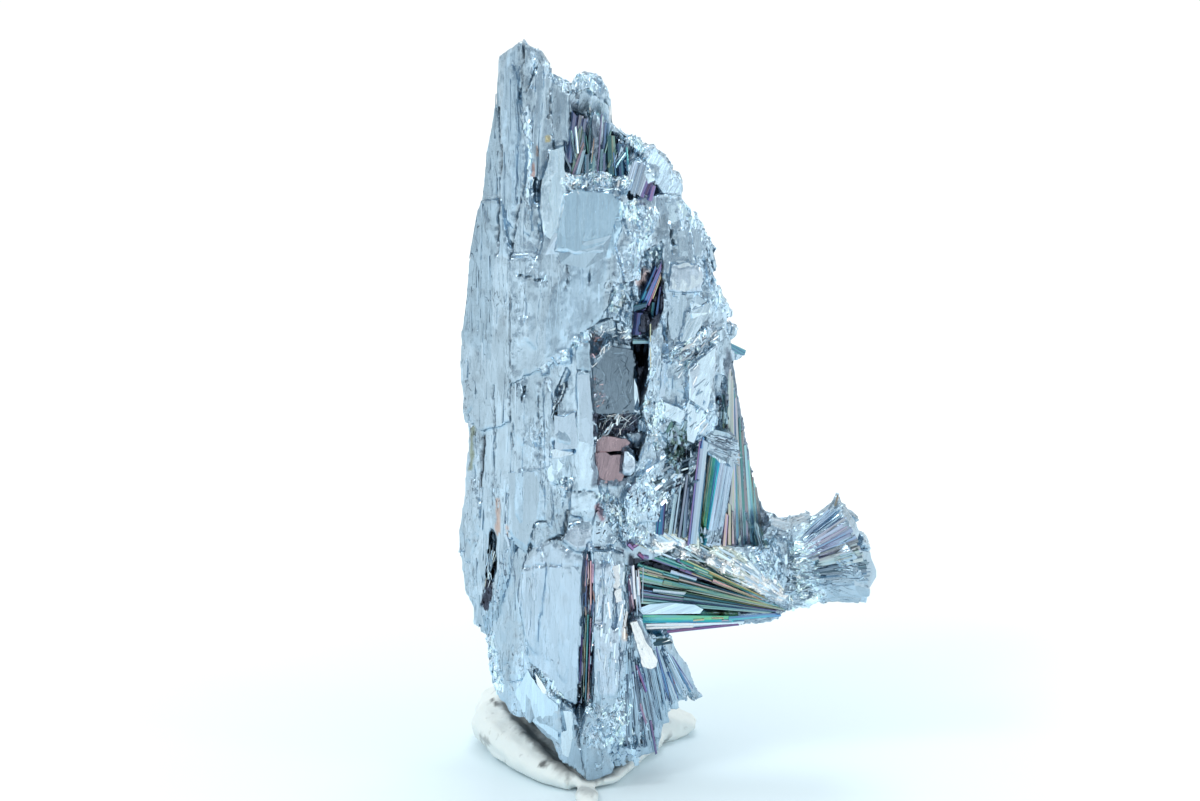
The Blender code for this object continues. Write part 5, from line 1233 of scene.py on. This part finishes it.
    def piece(self, material):
        mesh = bpy.data.meshes.new(self.name)
        points = np.concatenate(self.points)
        points[:, 2] = np.maximum(points[:, 2], FOOT)
        mesh.from_pydata((points * MM).tolist(), [], self.faces)
        shape = bmesh.new()
        shape.from_mesh(mesh)
        bmesh.ops.recalc_face_normals(shape, faces=shape.faces)
        shape.to_mesh(mesh)
        shape.free()
        mesh.shade_flat()
        set_vector(mesh, "run", np.concatenate(self.run))
        set_vector(mesh, "growth", np.concatenate(self.run))
        set_float(mesh, "grain", np.full(len(points), CRYSTAL_GRAIN))
        set_vector(mesh, "film", np.concatenate(self.film))
        set_tint(mesh, np.concatenate(self.tint))
        add_piece(self.name, mesh, material)


def tarnish_material():
    """The stone's lustre under a thin tarnish, whose colours run in stripes along each crystal."""
    nodes = Nodes("tarnish")
    run = nodes.attribute("run", "Vector")
    film = nodes.add("SeparateXYZ", {"Vector": nodes.attribute("film", "Vector")})
    stripes = nodes.noise(nodes.scaled(run, (3.2, 3.2, 0.07)), detail=4.0, roughness=0.6)
    slow = nodes.noise(nodes.scaled(run, (0.6, 0.6, 0.25)))
    place = nodes.math("MULTIPLY_ADD", nodes.math("SUBTRACT", stripes, 0.5), 0.9, film.outputs["X"])
    place = nodes.math("MULTIPLY_ADD", nodes.math("SUBTRACT", slow, 0.5), 0.35, place)
    place = nodes.math("FRACT", nodes.math("ADD", place, 1.0))
    ramp = nodes.add("ValToRGB", {"Fac": place})
    stops = ramp.color_ramp.elements
    stops[0].position, stops[0].color = FILM[0][0], (*FILM[0][1], 1.0)
    stops[1].position, stops[1].color = 1.0, (*FILM[0][1], 1.0)
    for position, colour in FILM[1:]:
        stops.new(position).color = (*colour, 1.0)
    fade = nodes.times(film.outputs["Y"], nodes.ranged(slow, 0.25, 0.6, 0.55, 1.0))
    colour = nodes.mixed(fade, nodes.attribute("tint", "Color"), ramp.outputs["Color"])
    tone = nodes.ranged(stripes, 0.3, 0.7, 0.72, 1.22)
    nodes.surface(Metallic=1.0, Roughness=0.2, Base_Color=nodes.vector_math("SCALE", colour, tone),
                  Normal=nodes.bump(stripes, 0.00008, 0.7))
    return nodes.material


def grow_crown(crown):
    """The needles of the crown's pocket, the block of striae at its right and its broken ends."""
    rng = crown.rng
    for root, tip, width, hue, film, tint in CROWN_CRYSTALS:
        root, tip = (*root[:2], root[2] + 0.5), (*tip[:2], tip[2] + 0.4)
        crown.prism(root, tip, 0.95 * width, hue, 0.7 * film, tint)
    for index in range(16):
        share = (index + rng.uniform(0.0, 1.0)) / 16.0
        root = along_line([(4.9, 68.4), (5.8, 67.4), (7.3, 67.5)], share)
        tip = along_line([(5.9, 72.0), (7.0, 71.6), (8.3, 69.8)], share)
        root, tip = shortened(root, tip, rng.uniform(0.0, 0.14), rng.uniform(0.0, 0.14))
        crown.prism(
            (*root, -4.35 + 0.4 * share), (*tip, -4.1 + 0.4 * share), rng.uniform(0.24, 0.5),
            PURPLE, 0.12 + 0.5 * (share > 0.85),
            crown.pick("pale lilac mist lilac dull") if share < 0.85 else "slate", sides=4,
        )
    crown.prism((7.8, 67.1, -3.9), (8.3, 68.9, -3.9), 0.7, PURPLE, 0.7, "slate", sides=5)
    for _ in range(50):
        share = rng.uniform(0.0, 1.0)
        base = along_line([(-1.7, 70.2), (1.6, 70.0), (5.2, 70.5)], share)
        head = along_line([(-2.0, 77.0), (0.6, 77.4), (2.8, 75.8), (4.2, 74.2), (5.4, 72.9)], share)
        root = between(base, head, rng.uniform(0.0, 0.5))
        tip = root + (head - base) * rng.uniform(0.25, 0.6)
        tip = np.minimum(tip, head + (9.0, 0.0)) + (rng.normal(0.0, 0.3) + 0.8 * (share - 0.4), 0.0)
        deep = -2.3 - rng.uniform(0.0, 0.7) + 0.6 * (share > 0.85)
        hue = rng.choice([PURPLE, GREEN, YELLOW, MAGENTA] if share < 0.6 else [GREEN, TEAL, BLUE, PURPLE])
        tints = "dull steel mist dull grey" if share < 0.45 else "slate dull mist grey steel"
        crown.prism((*root, deep), (*tip, deep + 0.5), rng.uniform(0.1, 0.4), hue, rng.uniform(0.0, 0.4),
                    crown.pick(tints), sides=5)
    crown.strew([(-2.6, 70.4), (5.4, 71.0), (5.6, 69.0), (3.4, 68.2), (-1.6, 68.4)], 60, (0.4, 1.3),
                (0.08, 0.25), (20.0, 72.0), "white bright pale", spread=50.0)


def grow_window(window):
    """The long pocket's crystals, the window's ridge, glints and hairs, and the left flank's slit."""
    rng, depth = window.rng, window.probe.depth
    for listed in LONG_POCKET_CRYSTALS:
        window.prism(*listed)
    window.strew([(0.9, 47.3), (2.8, 50.5), (3.3, 50.0), (1.3, 47.0)], 30, (0.3, 0.9), (0.08, 0.2),
                 (3.1, 52.0), "white bright pale", spread=30.0, raised=0.2)
    window.strew([(0.8, 51.0), (1.6, 51.9), (6.0, 51.6), (6.0, 50.3), (3.4, 50.6)], 60, (0.3, 1.0),
                 (0.08, 0.25), (20.0, 60.0), "white bright steel slate", spread=60.0)
    window.strew([(4.3, 42.0), (5.0, 42.0), (2.3, 38.2), (1.6, 38.4)], 30, (0.4, 1.1), (0.1, 0.25),
                 (9.0, 48.0), "white bright pale", spread=25.0, raised=0.25)
    window.strew([(1.3, 41.8), (6.3, 41.8), (6.2, 39.2), (1.4, 39.1)], 45, (0.5, 1.8), (0.03, 0.09),
                 (9.0, 44.0), "white bright grey", spread=60.0, raised=0.15)
    window.strew([(1.2, 47.3), (3.2, 49.3), (5.7, 48.6), (5.7, 42.1), (1.3, 42.0)], 70, (0.3, 1.7),
                 (0.03, 0.10), (6.0, 60.0), "grey shade dull steel shade", spread=50.0, raised=0.27)
    window.strew([(1.1, 46.2), (1.9, 46.4), (2.6, 43.6), (2.0, 42.2), (1.2, 42.2)], 60, (0.2, 0.7),
                 (0.06, 0.2), (2.0, 60.0), "rust shade grey slate", [(ORANGE, 0.15)], 50.0, 0.27)
    window.strew([(0.8, 51.4), (2.6, 50.6), (1.0, 47.8)], 24, (0.2, 0.7), (0.08, 0.25), (2.0, 60.0),
                 "rust slate dark rust", [(ORANGE, 0.2)], 60.0)
    window.strew([(-2.0, 45.8), (-2.9, 45.0), (-3.9, 41.6), (-3.2, 41.4)], 40, (0.3, 1.0), (0.04, 0.14),
                 (-1.0, 50.0), "dark slate bright steel pale", raised=0.15)
    window.slip([(5.95, 45.9), (6.3, 45.0), (6.55, 43.4), (6.6, 41.9), (6.0, 41.9)],
                depth(5.4, 44.0) - 0.15, TEAL, 0.0, "pale", 0.5)
    window.prism((7.95, 47.0, depth(8.4, 47.0)), (7.9, 52.4, depth(8.6, 52.0)), 0.16, YELLOW, 0.5, "straw")
    brink = depth(-10.3, 22.0) + 0.5
    for _ in range(44):
        share = rng.uniform(0.0, 1.0)
        root = along_line([(-11.9, 18.4), (-11.6, 20.6), (-11.2, 22.6), (-11.1, 24.6)], share)
        root = root + (rng.normal(0.0, 0.28), 0.0)
        tip = root + rng.uniform(0.6, 2.2) * np.array([rng.normal(0.1, 0.18), 1.0])
        window.prism((*root, brink + rng.uniform(0.0, 0.8)), (*tip, brink + rng.uniform(0.0, 0.8)),
                     rng.uniform(0.05, 0.2), YELLOW, 0.0, window.pick("pale straw steel dull bright"))


def grow_column(column):
    """The column's crystals, the capped prism and the prisms behind it."""
    rng = column.rng
    for listed in COLUMN_CRYSTALS:
        column.prism(*listed)

    # The capped prism's two faces, the paler prism beside it, and the cap of broken ends on top.
    left_edge = ((13.5, 26.0, -2.9), (15.0, 37.6, -3.2))
    front_edge = ((14.5, 26.0, -3.7), (16.4, 36.8, -4.1))
    right_edge = ((16.2, 26.0, -2.6), (18.0, 36.6, -2.9))
    column.facet(left_edge, front_edge, [
        (YELLOW, 0.8, "dull"), (GREEN + 0.04, 0.9, "mist"), (GREEN, 1.0, "mist"),
        (GREEN - 0.08, 1.0, "mist"), (TEAL - 0.02, 1.0, "steel"), (BLUE + 0.05, 1.0, "steel"),
    ])
    column.facet(front_edge, right_edge,
                 [(PURPLE, 0.12, "lilac"), (PURPLE, 0.1, "steel"), (BLUE, 0.1, "lilac")])
    column.facet(((12.5, 26.2, -4.2), (13.95, 38.8, -4.5)), ((13.4, 26.2, -4.4), (14.75, 38.2, -4.75)),
                 [(PURPLE, 0.2, "dull"), (TEAL, 0.0, "steel")])
    column.slab([(14.6, 37.2, -4.3), (14.6, 39.6, -4.0), (15.6, 39.8, -4.0), (17.2, 39.4, -3.8),
                 (18.1, 38.6, -3.6), (18.5, 37.6, -3.6), (18.2, 36.2, -3.6), (17.8, 35.0, -3.8),
                 (17.2, 35.8, -4.2), (16.2, 35.8, -4.6), (15.3, 36.8, -4.6)], TEAL, 0.04, "steel", 1.6)
    for _ in range(110):
        share = rng.uniform(0.0, 1.0)
        middle = along_line([(14.9, 38.4, -4.5), (16.4, 37.9, -4.6), (18.0, 37.4, -4.0)], share)
        middle = middle + np.array([0.0, rng.uniform(-1.5, 1.2) * (0.7 + 0.3 * share), 0.4])
        reach = rng.uniform(0.3, 0.9) * np.array([1.0, -0.35 + rng.normal(0.0, 0.2), 0.0])
        column.prism(middle - reach, middle + reach, rng.uniform(0.08, 0.26), TEAL, 0.0,
                     column.pick("steel lilac pale mist slate"), sides=4)

    # The small crystals at the prisms' roots.
    for _ in range(60):
        across = rng.uniform(13.2, 16.4)
        root = np.array([across, 26.2 + rng.uniform(0.0, 1.6)])
        tip = root + rng.uniform(0.2, 0.8) * np.array([0.15 + rng.normal(0.0, 0.3), 1.0])
        deep = -3.9 + 0.65 * abs(across - 14.6)
        column.prism((*root, deep), (*tip, deep + 0.05), rng.uniform(0.1, 0.3), TEAL, 0.0,
                     column.pick("slate dull grey steel"), sides=4)

    # The prisms that stand behind it draw together upwards, striped greenish and brown.
    for index in range(22):
        share = index / 21.0
        root = (16.9 + 4.4 * share, 24.6)
        tip = along_line([(17.3, 47.0), (17.9, 44.0), (19.5, 36.0), (21.2, 29.8)],
                         rng.uniform(0.75, 1.0) * share)
        near, far = [0.445 * (across - 18.6) - 0.25 for across in (root[0], tip[0])]
        column.prism((*root, near), (*tip, far), rng.uniform(0.5, 0.9),
                     rng.choice([GREEN, YELLOW, ORANGE, TEAL]), rng.uniform(0.2, 0.5),
                     column.pick("dull slate green_grey grey"), sides=5, taper=0.6)

    # Crumpled, glittering plates lie aslant between them and the window.
    column.strew([(8.8, 32.5), (10.2, 36.2), (12.6, 36.4), (13.4, 34.6), (11.6, 31.4), (9.4, 30.8)], 70,
                 (0.8, 2.6), (0.15, 0.5), (40.0, 62.0), "bright slate steel bright dark", [(TEAL, 0.05)])
    column.strew([(9.8, 42.4), (11.6, 47.0), (15.6, 50.6), (16.2, 44.0), (14.0, 38.6), (10.4, 38.8)], 46,
                 (0.6, 2.4), (0.06, 0.22), (30.0, 62.0), "white dull pale mist")
    column.strew([(10.2, 48.0), (12.4, 50.4), (15.6, 52.2), (16.2, 51.0), (13.6, 48.8), (11.6, 46.6)], 60,
                 (0.4, 1.8), (0.06, 0.22), (30.0, 60.0), "white bright slate steel", spread=16.0)
    column.strew([(10.0, 40.4), (12.1, 40.2), (12.5, 37.8), (11.2, 35.0), (9.9, 36.2)], 80,
                 (0.4, 1.5), (0.12, 0.4), (13.0, 60.0), "green_grey slate grey dark dull green_grey",
                 [(GREEN, 0.15), (TEAL, 0.0)], 20.0, 0.06)
    column.strew([(15.9, 43.8), (16.6, 43.9), (17.2, 40.2), (16.0, 40.0)], 36, (0.8, 3.0), (0.08, 0.25),
                 (16.6, 60.0), "slate green_grey dark grey dull", [(GREEN, 0.2), (TEAL, 0.1)], 5.0)
    for index in range(16):
        share = (index + 0.5) / 16.0
        root, tip = column.probe.lay((18.4 + 3.7 * share, 25.9),
                                     (18.2 + 2.7 * share, 30.6 - 1.6 * share), 0.1)
        column.prism(root, tip, rng.uniform(0.3, 0.55), rng.choice([GREEN, YELLOW, TEAL]),
                     rng.uniform(0.1, 0.35), column.pick("dull mist steel"), sides=5)
    column.slip([(16.9, 50.4), (17.6, 50.0), (19.3, 49.2), (19.1, 48.6), (17.5, 49.0)],
                column.probe.depth(18.3, 49.0, -2.0) - 0.12, TEAL, 0.5, "slate", 0.3)


def grow_arm(arm):
    """The arm's needles draw together at its end, in sets with gaps of painted shade between; then its
    crust.
    """
    rng = arm.rng
    for listed in ARM_CRYSTALS:
        arm.prism(*listed)
    greens = [(GREEN, 0.8), (YELLOW, 0.7), (TEAL, 0.6), (GREEN + 0.05, 0.8), (YELLOW + 0.06, 0.5)]
    dusky = [(GREEN, 0.45), (PURPLE, 0.5), (TEAL, 0.3)]
    dull_pair = [(PURPLE, 0.8), (ORANGE, 0.9)]
    sets = [
        (20, [(6.8, 24.9), (12.4, 24.1)], [(23.4, 19.2), (23.0, 19.1)], greens + dusky,
         "dark slate slate dull"),
        (5, [(11.4, 23.2), (12.6, 22.9)], [(21.4, 19.4), (21.8, 19.2)], dull_pair, "slate"),
        (22, [(6.4, 23.8), (6.8, 21.8)], [(23.9, 18.6), (23.9, 18.3)], greens, "slate dull slate dull"),
        (16, [(6.8, 21.4), (6.8, 19.2)], [(23.4, 18.3), (22.0, 18.0)], dusky, "dark slate slate grey"),
    ]
    for count, roots, tips, films, tints in sets:
        for index in range(count):
            share = (index + rng.uniform(0.0, 1.0)) / count
            start = rng.choice([0.0, 0.0, rng.uniform(0.0, 0.35)])
            short = rng.choice([0.0, rng.uniform(0.0, 0.3)])
            root, tip = shortened(along_line(roots, share), along_line(tips, share), start, short)
            hue, film = films[rng.integers(len(films))]
            arm.prism((*root, -4.25 - rng.uniform(0.0, 0.4)), (*tip, -3.5 - 0.8 * short),
                      rng.uniform(0.2, 0.55), hue, film * rng.uniform(0.7, 1.0), arm.pick(tints),
                      sides=5, taper=0.35)
    for _ in range(16):
        root = (rng.uniform(5.4, 7.0), rng.uniform(17.6, 21.0))
        tip = (root[0] + rng.normal(-0.2, 0.15), root[1] + rng.uniform(1.5, 5.0))
        arm.prism((*root, -4.7), (*tip, -4.9), rng.uniform(0.12, 0.3), MAGENTA, rng.uniform(0.0, 0.3),
                  arm.pick("slate steel rust white grey dark"), sides=4)
    arm.slab([(6.4, 18.5, -4.7), (7.8, 19.0, -4.7), (10.2, 19.2, -4.7), (13.2, 18.95, -4.6),
              (14.2, 18.4, -4.5), (13.8, 17.9, -4.5), (7.0, 17.8, -4.7)], PURPLE, 0.0, "pale", 1.0)
    arm.facet(((7.0, 16.8, -4.4), (17.6, 16.9, -3.9)), ((7.0, 17.75, -4.6), (18.4, 17.6, -4.0)),
              [(TEAL + 0.03, 1.0, "steel"), (GREEN - 0.05, 1.0, "steel"), (GREEN, 1.0, "steel")])
    arm.strew([(9.0, 27.6), (12.0, 27.2), (17.0, 25.4), (21.0, 23.6), (24.2, 20.6), (23.6, 19.4),
               (20.0, 21.0), (16.0, 22.9), (10.8, 24.5), (7.6, 25.4)], 90,
              (1.0, 4.4), (0.12, 0.4), (26.0, 18.6),
              "pale bright pale straw lilac", spread=7.0, raised=-0.06)
    arm.strew([(18.6, 26.0), (20.4, 28.4), (24.0, 28.2), (24.8, 24.0), (23.8, 20.8), (20.4, 22.4)], 130,
              (0.3, 1.3), (0.1, 0.36), (26.0, 36.0), "pale dull mist steel grey", spread=40.0, raised=-0.02)


def grow_knob(knob):
    """The knob's sheaf of tarnished blades, and the grains at its neck and on its face."""
    rng, lay = knob.rng, knob.probe.lay
    roots = [(25.6, 27.2), (26.0, 25.8), (26.6, 24.2), (27.0, 22.6), (27.2, 21.0)]
    tips = [(29.6, 30.8), (31.2, 30.0), (32.5, 27.6), (33.5, 25.4), (34.4, 22.9), (34.0, 21.4)]

    def band_at(share):
        return next(band[1:] for band in KNOB_BANDS if share < band[0])

    for index in range(26):
        near, far = index / 26.0, (index + 1.0) / 26.0
        hue, film, tint = band_at(near)
        begin, finish = rng.uniform(0.0, 0.35), rng.uniform(0.82, 0.98)
        low, high = [
            [between(along_line(roots, side), along_line(tips, side), share) for side in (near, far)]
            for share in (begin, finish)
        ]
        root, tip = lay(tuple((low[0] + low[1]) / 2.0), tuple((high[0] + high[1]) / 2.0), 0.04)
        tilt = rng.normal(0.0, 0.06)
        knob.slab([(*low[0], root[2] - tilt), (*high[0], tip[2] - tilt), (*high[1], tip[2] + tilt),
                   (*low[1], root[2] + tilt)], hue, film * rng.uniform(0.6, 1.2), tint, 0.5)
    for _ in range(46):
        share = rng.uniform(0.0, 1.0)
        root, tip = along_line(roots, share), along_line(tips, share)
        root, tip = shortened(root, tip, rng.uniform(0.0, 0.6), rng.uniform(0.0, 0.3))
        root, tip = lay(tuple(root), tuple(tip), 0.05)
        hue, film, tint = band_at(share)
        knob.prism(root, tip, rng.uniform(0.06, 0.16), hue, 1.5 * film * rng.uniform(0.4, 1.0), tint,
                   sides=4)
    knob.strew([(24.4, 25.4), (28.6, 24.6), (29.4, 21.6), (27.0, 19.6), (24.8, 18.6), (24.0, 20.4)], 110,
               (0.4, 1.4), (0.08, 0.3), (34.0, 22.0), "steel dull mist grey", spread=35.0)
    knob.prism((29.7, 29.9, -2.6), (30.25, 32.0, -2.4), 0.3, ORANGE, 0.6, "slate")
    knob.strew([(28.6, 24.0), (32.0, 24.0), (34.0, 24.4), (34.4, 22.0), (30.4, 21.4), (28.0, 21.0)], 70,
               (0.4, 1.2), (0.08, 0.3), (36.0, 22.0), "steel dull mist pale", spread=30.0)


def grow_foot(foot):
    """The striated fan at the foot's right, and the crystals in the grooves and round the foot."""
    rng = foot.rng
    for listed in FOOT_CRYSTALS:
        foot.prism(*listed)
    for index in range(120):
        share = (index + rng.uniform(0.0, 1.0)) / 120.0
        root = along_line([(4.9, 13.6), (6.4, 14.4), (8.4, 14.2), (9.8, 14.0)], share)
        tip = along_line([(5.0, 1.2), (8.4, 1.2), (9.2, 4.2), (11.0, 7.4), (13.2, 8.6)], share)
        root, tip = shortened(root, tip, rng.uniform(0.0, 0.5), rng.uniform(0.0, 0.35))
        root, tip = foot.probe.lay(tuple(root), tuple(tip), 0.03)
        coloured = rng.random() < 0.14
        foot.prism(
            root, tip, rng.uniform(0.08, 0.34), rng.choice([PURPLE, BLUE, MAGENTA]),
            0.55 if coloured else 0.0,
            "slate" if coloured else foot.pick("dull steel slate mist steel blue"), sides=5, taper=1.1,
        )
    foot.strew([(0.4, 7.6), (5.2, 8.4), (8.6, 2.6), (8.6, 0.8), (4.0, 0.0), (1.0, -0.6)], 130,
               (0.2, 0.7), (0.1, 0.35), (5.0, 40.0), "dull pearl mist pale steel", spread=40.0, raised=0.0)
    for _ in range(24):
        middle = np.array([rng.uniform(3.6, 6.6), 0.0])
        middle[1] = rng.uniform(0.0, 1.5) + 0.12 * (middle[0] - 3.6)
        reach = rng.uniform(0.25, 0.6) * np.array([rng.normal(0.0, 0.5), 1.0])
        foot.prism((*(middle - reach), -8.3), (*(middle + reach), -8.5), rng.uniform(0.4, 0.8), TEAL, 0.0,
                   foot.pick("steel pale mist"), sides=4)
    foot.strew([(0.1, 24.6), (1.2, 24.4), (1.15, 12.0), (0.4, 8.0), (-0.7, 6.8), (-0.3, 14.0),
                (0.0, 18.6)], 46, (1.0, 4.0), (0.06, 0.22), (0.4, 60.0), "slate rust dull steel",
               [(PURPLE, 0.5), (ORANGE, 0.5), (YELLOW, 0.5), (TEAL, 0.0)], 4.0)
    foot.strew([(1.4, 31.6), (5.0, 33.2), (9.4, 31.8), (9.0, 27.8), (5.6, 26.0), (1.5, 25.4)], 190,
               (0.15, 0.7), (0.05, 0.2), (8.0, 60.0), "slate dark bright steel pale dull", spread=55.0)
    foot.strew([(-3.4, 33.9), (-1.4, 34.2), (-1.2, 32.6), (-3.0, 32.4)], 26, (0.2, 0.6), (0.06, 0.2),
               (4.0, 40.0), "white bright pale", spread=60.0)
    foot.strew([(1.4, 23.6), (4.9, 23.4), (5.0, 15.0), (4.4, 10.0), (1.5, 9.0)], 60,
               (0.3, 2.4), (0.06, 0.3), (3.2, 60.0), "white bright pale dull", spread=8.0)
    foot.strew([(-9.3, 26.8), (-8.1, 26.6), (-9.6, 20.0), (-10.8, 16.4), (-11.9, 16.6), (-10.5, 21.0)], 110,
               (0.5, 2.2), (0.1, 0.32), (-8.6, 60.0), "steel mist dull blue", spread=8.0)


def grow_plates(plates):
    """Plates that cleave off the front, and the white one in the notch at the left of the foot."""
    for tint, raised, striae, outline in CLEAVAGE:
        plates.plate(outline, tint, raised, striae)
    for tint, raised, lean, striae, outline in PANELS:
        plates.plate(outline, tint, raised, striae, lean)
    for tint, raised, outline in COVERS:
        laid = [(across, up, plates.probe.depth(across, up) - raised) for across, up in outline]
        plates.slab(laid, 0.0, 0.0, tint, PLATE_THICK, 90.0)
    notch = plates.probe.depth(-5.0, 10.4) - 0.25
    plates.slab([(-5.8, 10.8, notch), (-5.0, 9.7, notch), (-4.2, 8.3, notch + 0.1), (-4.9, 8.4, notch),
                 (-5.6, 9.5, notch)], 0.0, 0.0, "white", 0.4)


def build_crystals(probe, stone):
    tarnish = tarnish_material()
    for name, seed, grow, material in (
        ("crown_crystals", 1, grow_crown, tarnish),
        ("long_pocket_crystals", 2, grow_window, tarnish),
        ("column_crystals", 3, grow_column, tarnish),
        ("arm_crystals", 4, grow_arm, tarnish),
        ("foot_crystals", 5, grow_foot, tarnish),
        ("knob_crystals", 9, grow_knob, tarnish),
        ("front_plates", 7, grow_plates, stone),
    ):
        cluster = Cluster(name, probe, seed)
        grow(cluster)
        cluster.piece(material)


# ---------------------------------------------------------------- the putty

# Grey marks on the putty: half-width, strength, and the line. The first, widest, runs along the channel
# between the roll and the stone.
GREY_MARKS = [
    (1.3, 0.8, [(-9, 7), (-7.6, 5.0), (-6, 3.4), (-4, 1.2), (-2, -0.7)]),
    (0.35, 0.9, [(-4.7, -0.2), (-4.4, -0.4)]),
    (0.35, 0.9, [(-10.8, 7.4), (-10.4, 7.1)]),
    (0.45, 0.8, [(-7.2, 4.0), (-6.6, 3.7)]),
    (0.35, 0.8, [(1.2, -2.2), (1.6, -2.4)]),
    (0.7, 0.35, [(-0.3, -3.2), (0.9, -3.5)]),
    (0.5, 0.5, [(8.6, 1.6), (10, 3.4)]),
    (0.4, 0.5, [(-12.2, 3.2), (-11.6, 2.4)]),
]


def putty_material():
    nodes = Nodes("putty")
    dust = nodes.ranged(nodes.noise(nodes.place(), 900.0, 4.0), 0.62, 0.72)
    dust_and_grey_marks = nodes.math("MULTIPLY_ADD", dust, 0.25, nodes.attribute("grey_mark", "Fac"))
    nodes.surface(
        Base_Color=nodes.mixed(dust_and_grey_marks, (0.70, 0.76, 0.755, 1.0), (0.05, 0.055, 0.06, 1.0)),
        Roughness=0.62, Subsurface_Weight=0.15, Subsurface_Radius=(0.0012, 0.001, 0.0008),
        Normal=nodes.bump(nodes.noise(nodes.place(), 420.0, 5.0), 0.0004, 0.7),
    )
    return nodes.material


def build_putty():
    mesh = remeshed("putty", PUTTY_VOXEL)
    points, normals = mesh_arrays(mesh)
    across, up = seen_at(points)
    free = smooth_step(points[:, 2], 0.2, 1.4)
    height = 0.45 * noise(points, 4.5, 511) + 0.26 * noise(points, 1.9, 512)
    height += 0.12 * noise(points, 0.8, 513)
    lobe = np.hypot(across - PUTTY_LOBE[0], up - PUTTY_LOBE[1])
    height += 1.3 * (1.0 - smooth_step(lobe, 0.6, 3.4))
    moved = points + normals * (height * free)[:, None]
    moved[:, 2] = np.maximum(moved[:, 2], 0.0)
    set_points(mesh, moved)
    mesh.shade_smooth()
    grey_mark = np.zeros(len(points))
    for half, strength, line in GREY_MARKS:
        gap, _ = edge_distance(across, up, line, closed=False)
        ragged = gap + 0.35 * noise(points, 0.7, 521) + 0.2 * noise(points, 0.3, 522)
        grey_mark = np.maximum(grey_mark, strength * (1.0 - smooth_step(ragged, 0.2 * half, half)))
    set_float(mesh, "grey_mark", grey_mark)
    piece = add_piece("putty_pad", mesh, putty_material())
    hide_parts("putty")


# ---------------------------------------------------------------- room

# Lamps: name, place, power, and the sides of each; all look at the middle of the stone.
LIT_MIDDLE = Vector((0.0, 0.0, 0.045))
LAMPS = [
    ("key", (-0.35, -0.30, 0.50), 0.9, (0.16, 0.16)),
    ("fill", (0.50, -0.20, 0.22), 0.35, (0.10, 0.30)),
    ("top", (0.05, 0.20, 0.60), 0.8, (0.30, 0.20)),
]


def flat_sheet(name, corners, material):
    """One face, with its material, in the scene."""
    mesh = bpy.data.meshes.new(name)
    mesh.from_pydata(corners, [], [(0, 1, 2, 3)])
    mesh.materials.append(material)
    return in_scene(name, mesh)


def build_room():
    paper = Nodes("paper")
    # Painted shadow: the floor is bluer and dimmer near the stone, fading out between 0.01 and 0.16 m from
    # the middle.
    spread = paper.ranged(paper.vector_math("LENGTH", paper.place()), 0.01, 0.16,
                          interpolation_type="SMOOTHSTEP")
    paper.surface(Base_Color=paper.mixed(spread, (0.72, 0.84, 0.90, 1.0), (0.94, 0.965, 0.97, 1.0)),
                  Roughness=0.9)
    floor = flat_sheet("floor", [(-3, -3, 0), (3, -3, 0), (3, 3, 0), (-3, 3, 0)], paper.material)

    world = bpy.data.worlds.new("studio")
    bpy.context.scene.world = world
    world.use_nodes = True
    sky = world.node_tree.nodes["Background"]
    sky.inputs["Color"].default_value = (0.97, 1.0, 1.0, 1.0)
    sky.inputs["Strength"].default_value = 1.03

    for name, place, power, sides in LAMPS:
        lamp = bpy.data.lights.new(name, "AREA")
        lamp.energy = power
        lamp.shape = "RECTANGLE"
        lamp.size, lamp.size_y = sides
        lamp.color = (0.95, 0.98, 1.0)
        item = in_scene(name, lamp)
        item.location = place
        item.rotation_euler = (LIT_MIDDLE - Vector(place)).to_track_quat("-Z", "Y").to_euler()

    # A grey card behind the camera, for the metal to reflect.
    grey = Nodes("grey_card")
    grey.tree.nodes.remove(grey.shader)
    glow = grey.add("Emission", {"Color": (0.50, 0.57, 0.62, 1.0), "Strength": 1.0})
    grey.fill(grey.tree.nodes["Material Output"], {"Surface": glow.outputs["Emission"]})
    corners = [(-0.5, 0, -0.35), (0.5, 0, -0.35), (0.5, 0, 0.35), (-0.5, 0, 0.35)]
    card = flat_sheet("card", corners, grey.material)
    card.location = (0.0, -0.55, 0.10)
    card.visible_camera = False
    card.visible_shadow = False
    card.visible_diffuse = False


def build_camera():
    camera = in_scene("camera", bpy.data.cameras.new("camera"))
    camera.data.lens = LENS
    camera.data.sensor_width = SENSOR
    camera.data.clip_start = 0.01
    camera.data.clip_end = 20.0
    camera.location = EYE * MM
    camera.rotation_euler = (math.pi / 2.0 - VIEW_TILT, 0.0, 0.0)
    bpy.context.scene.camera = camera
    bpy.context.scene.view_settings.view_transform = "Standard"


build_camera()
build_room()
stone_mesh, skin, stone_look = build_stone()
probe = Probe(stone_mesh)
build_crystals(probe, stone_look)
build_chips(skin, probe, stone_look)
probe.remove()
build_putty()
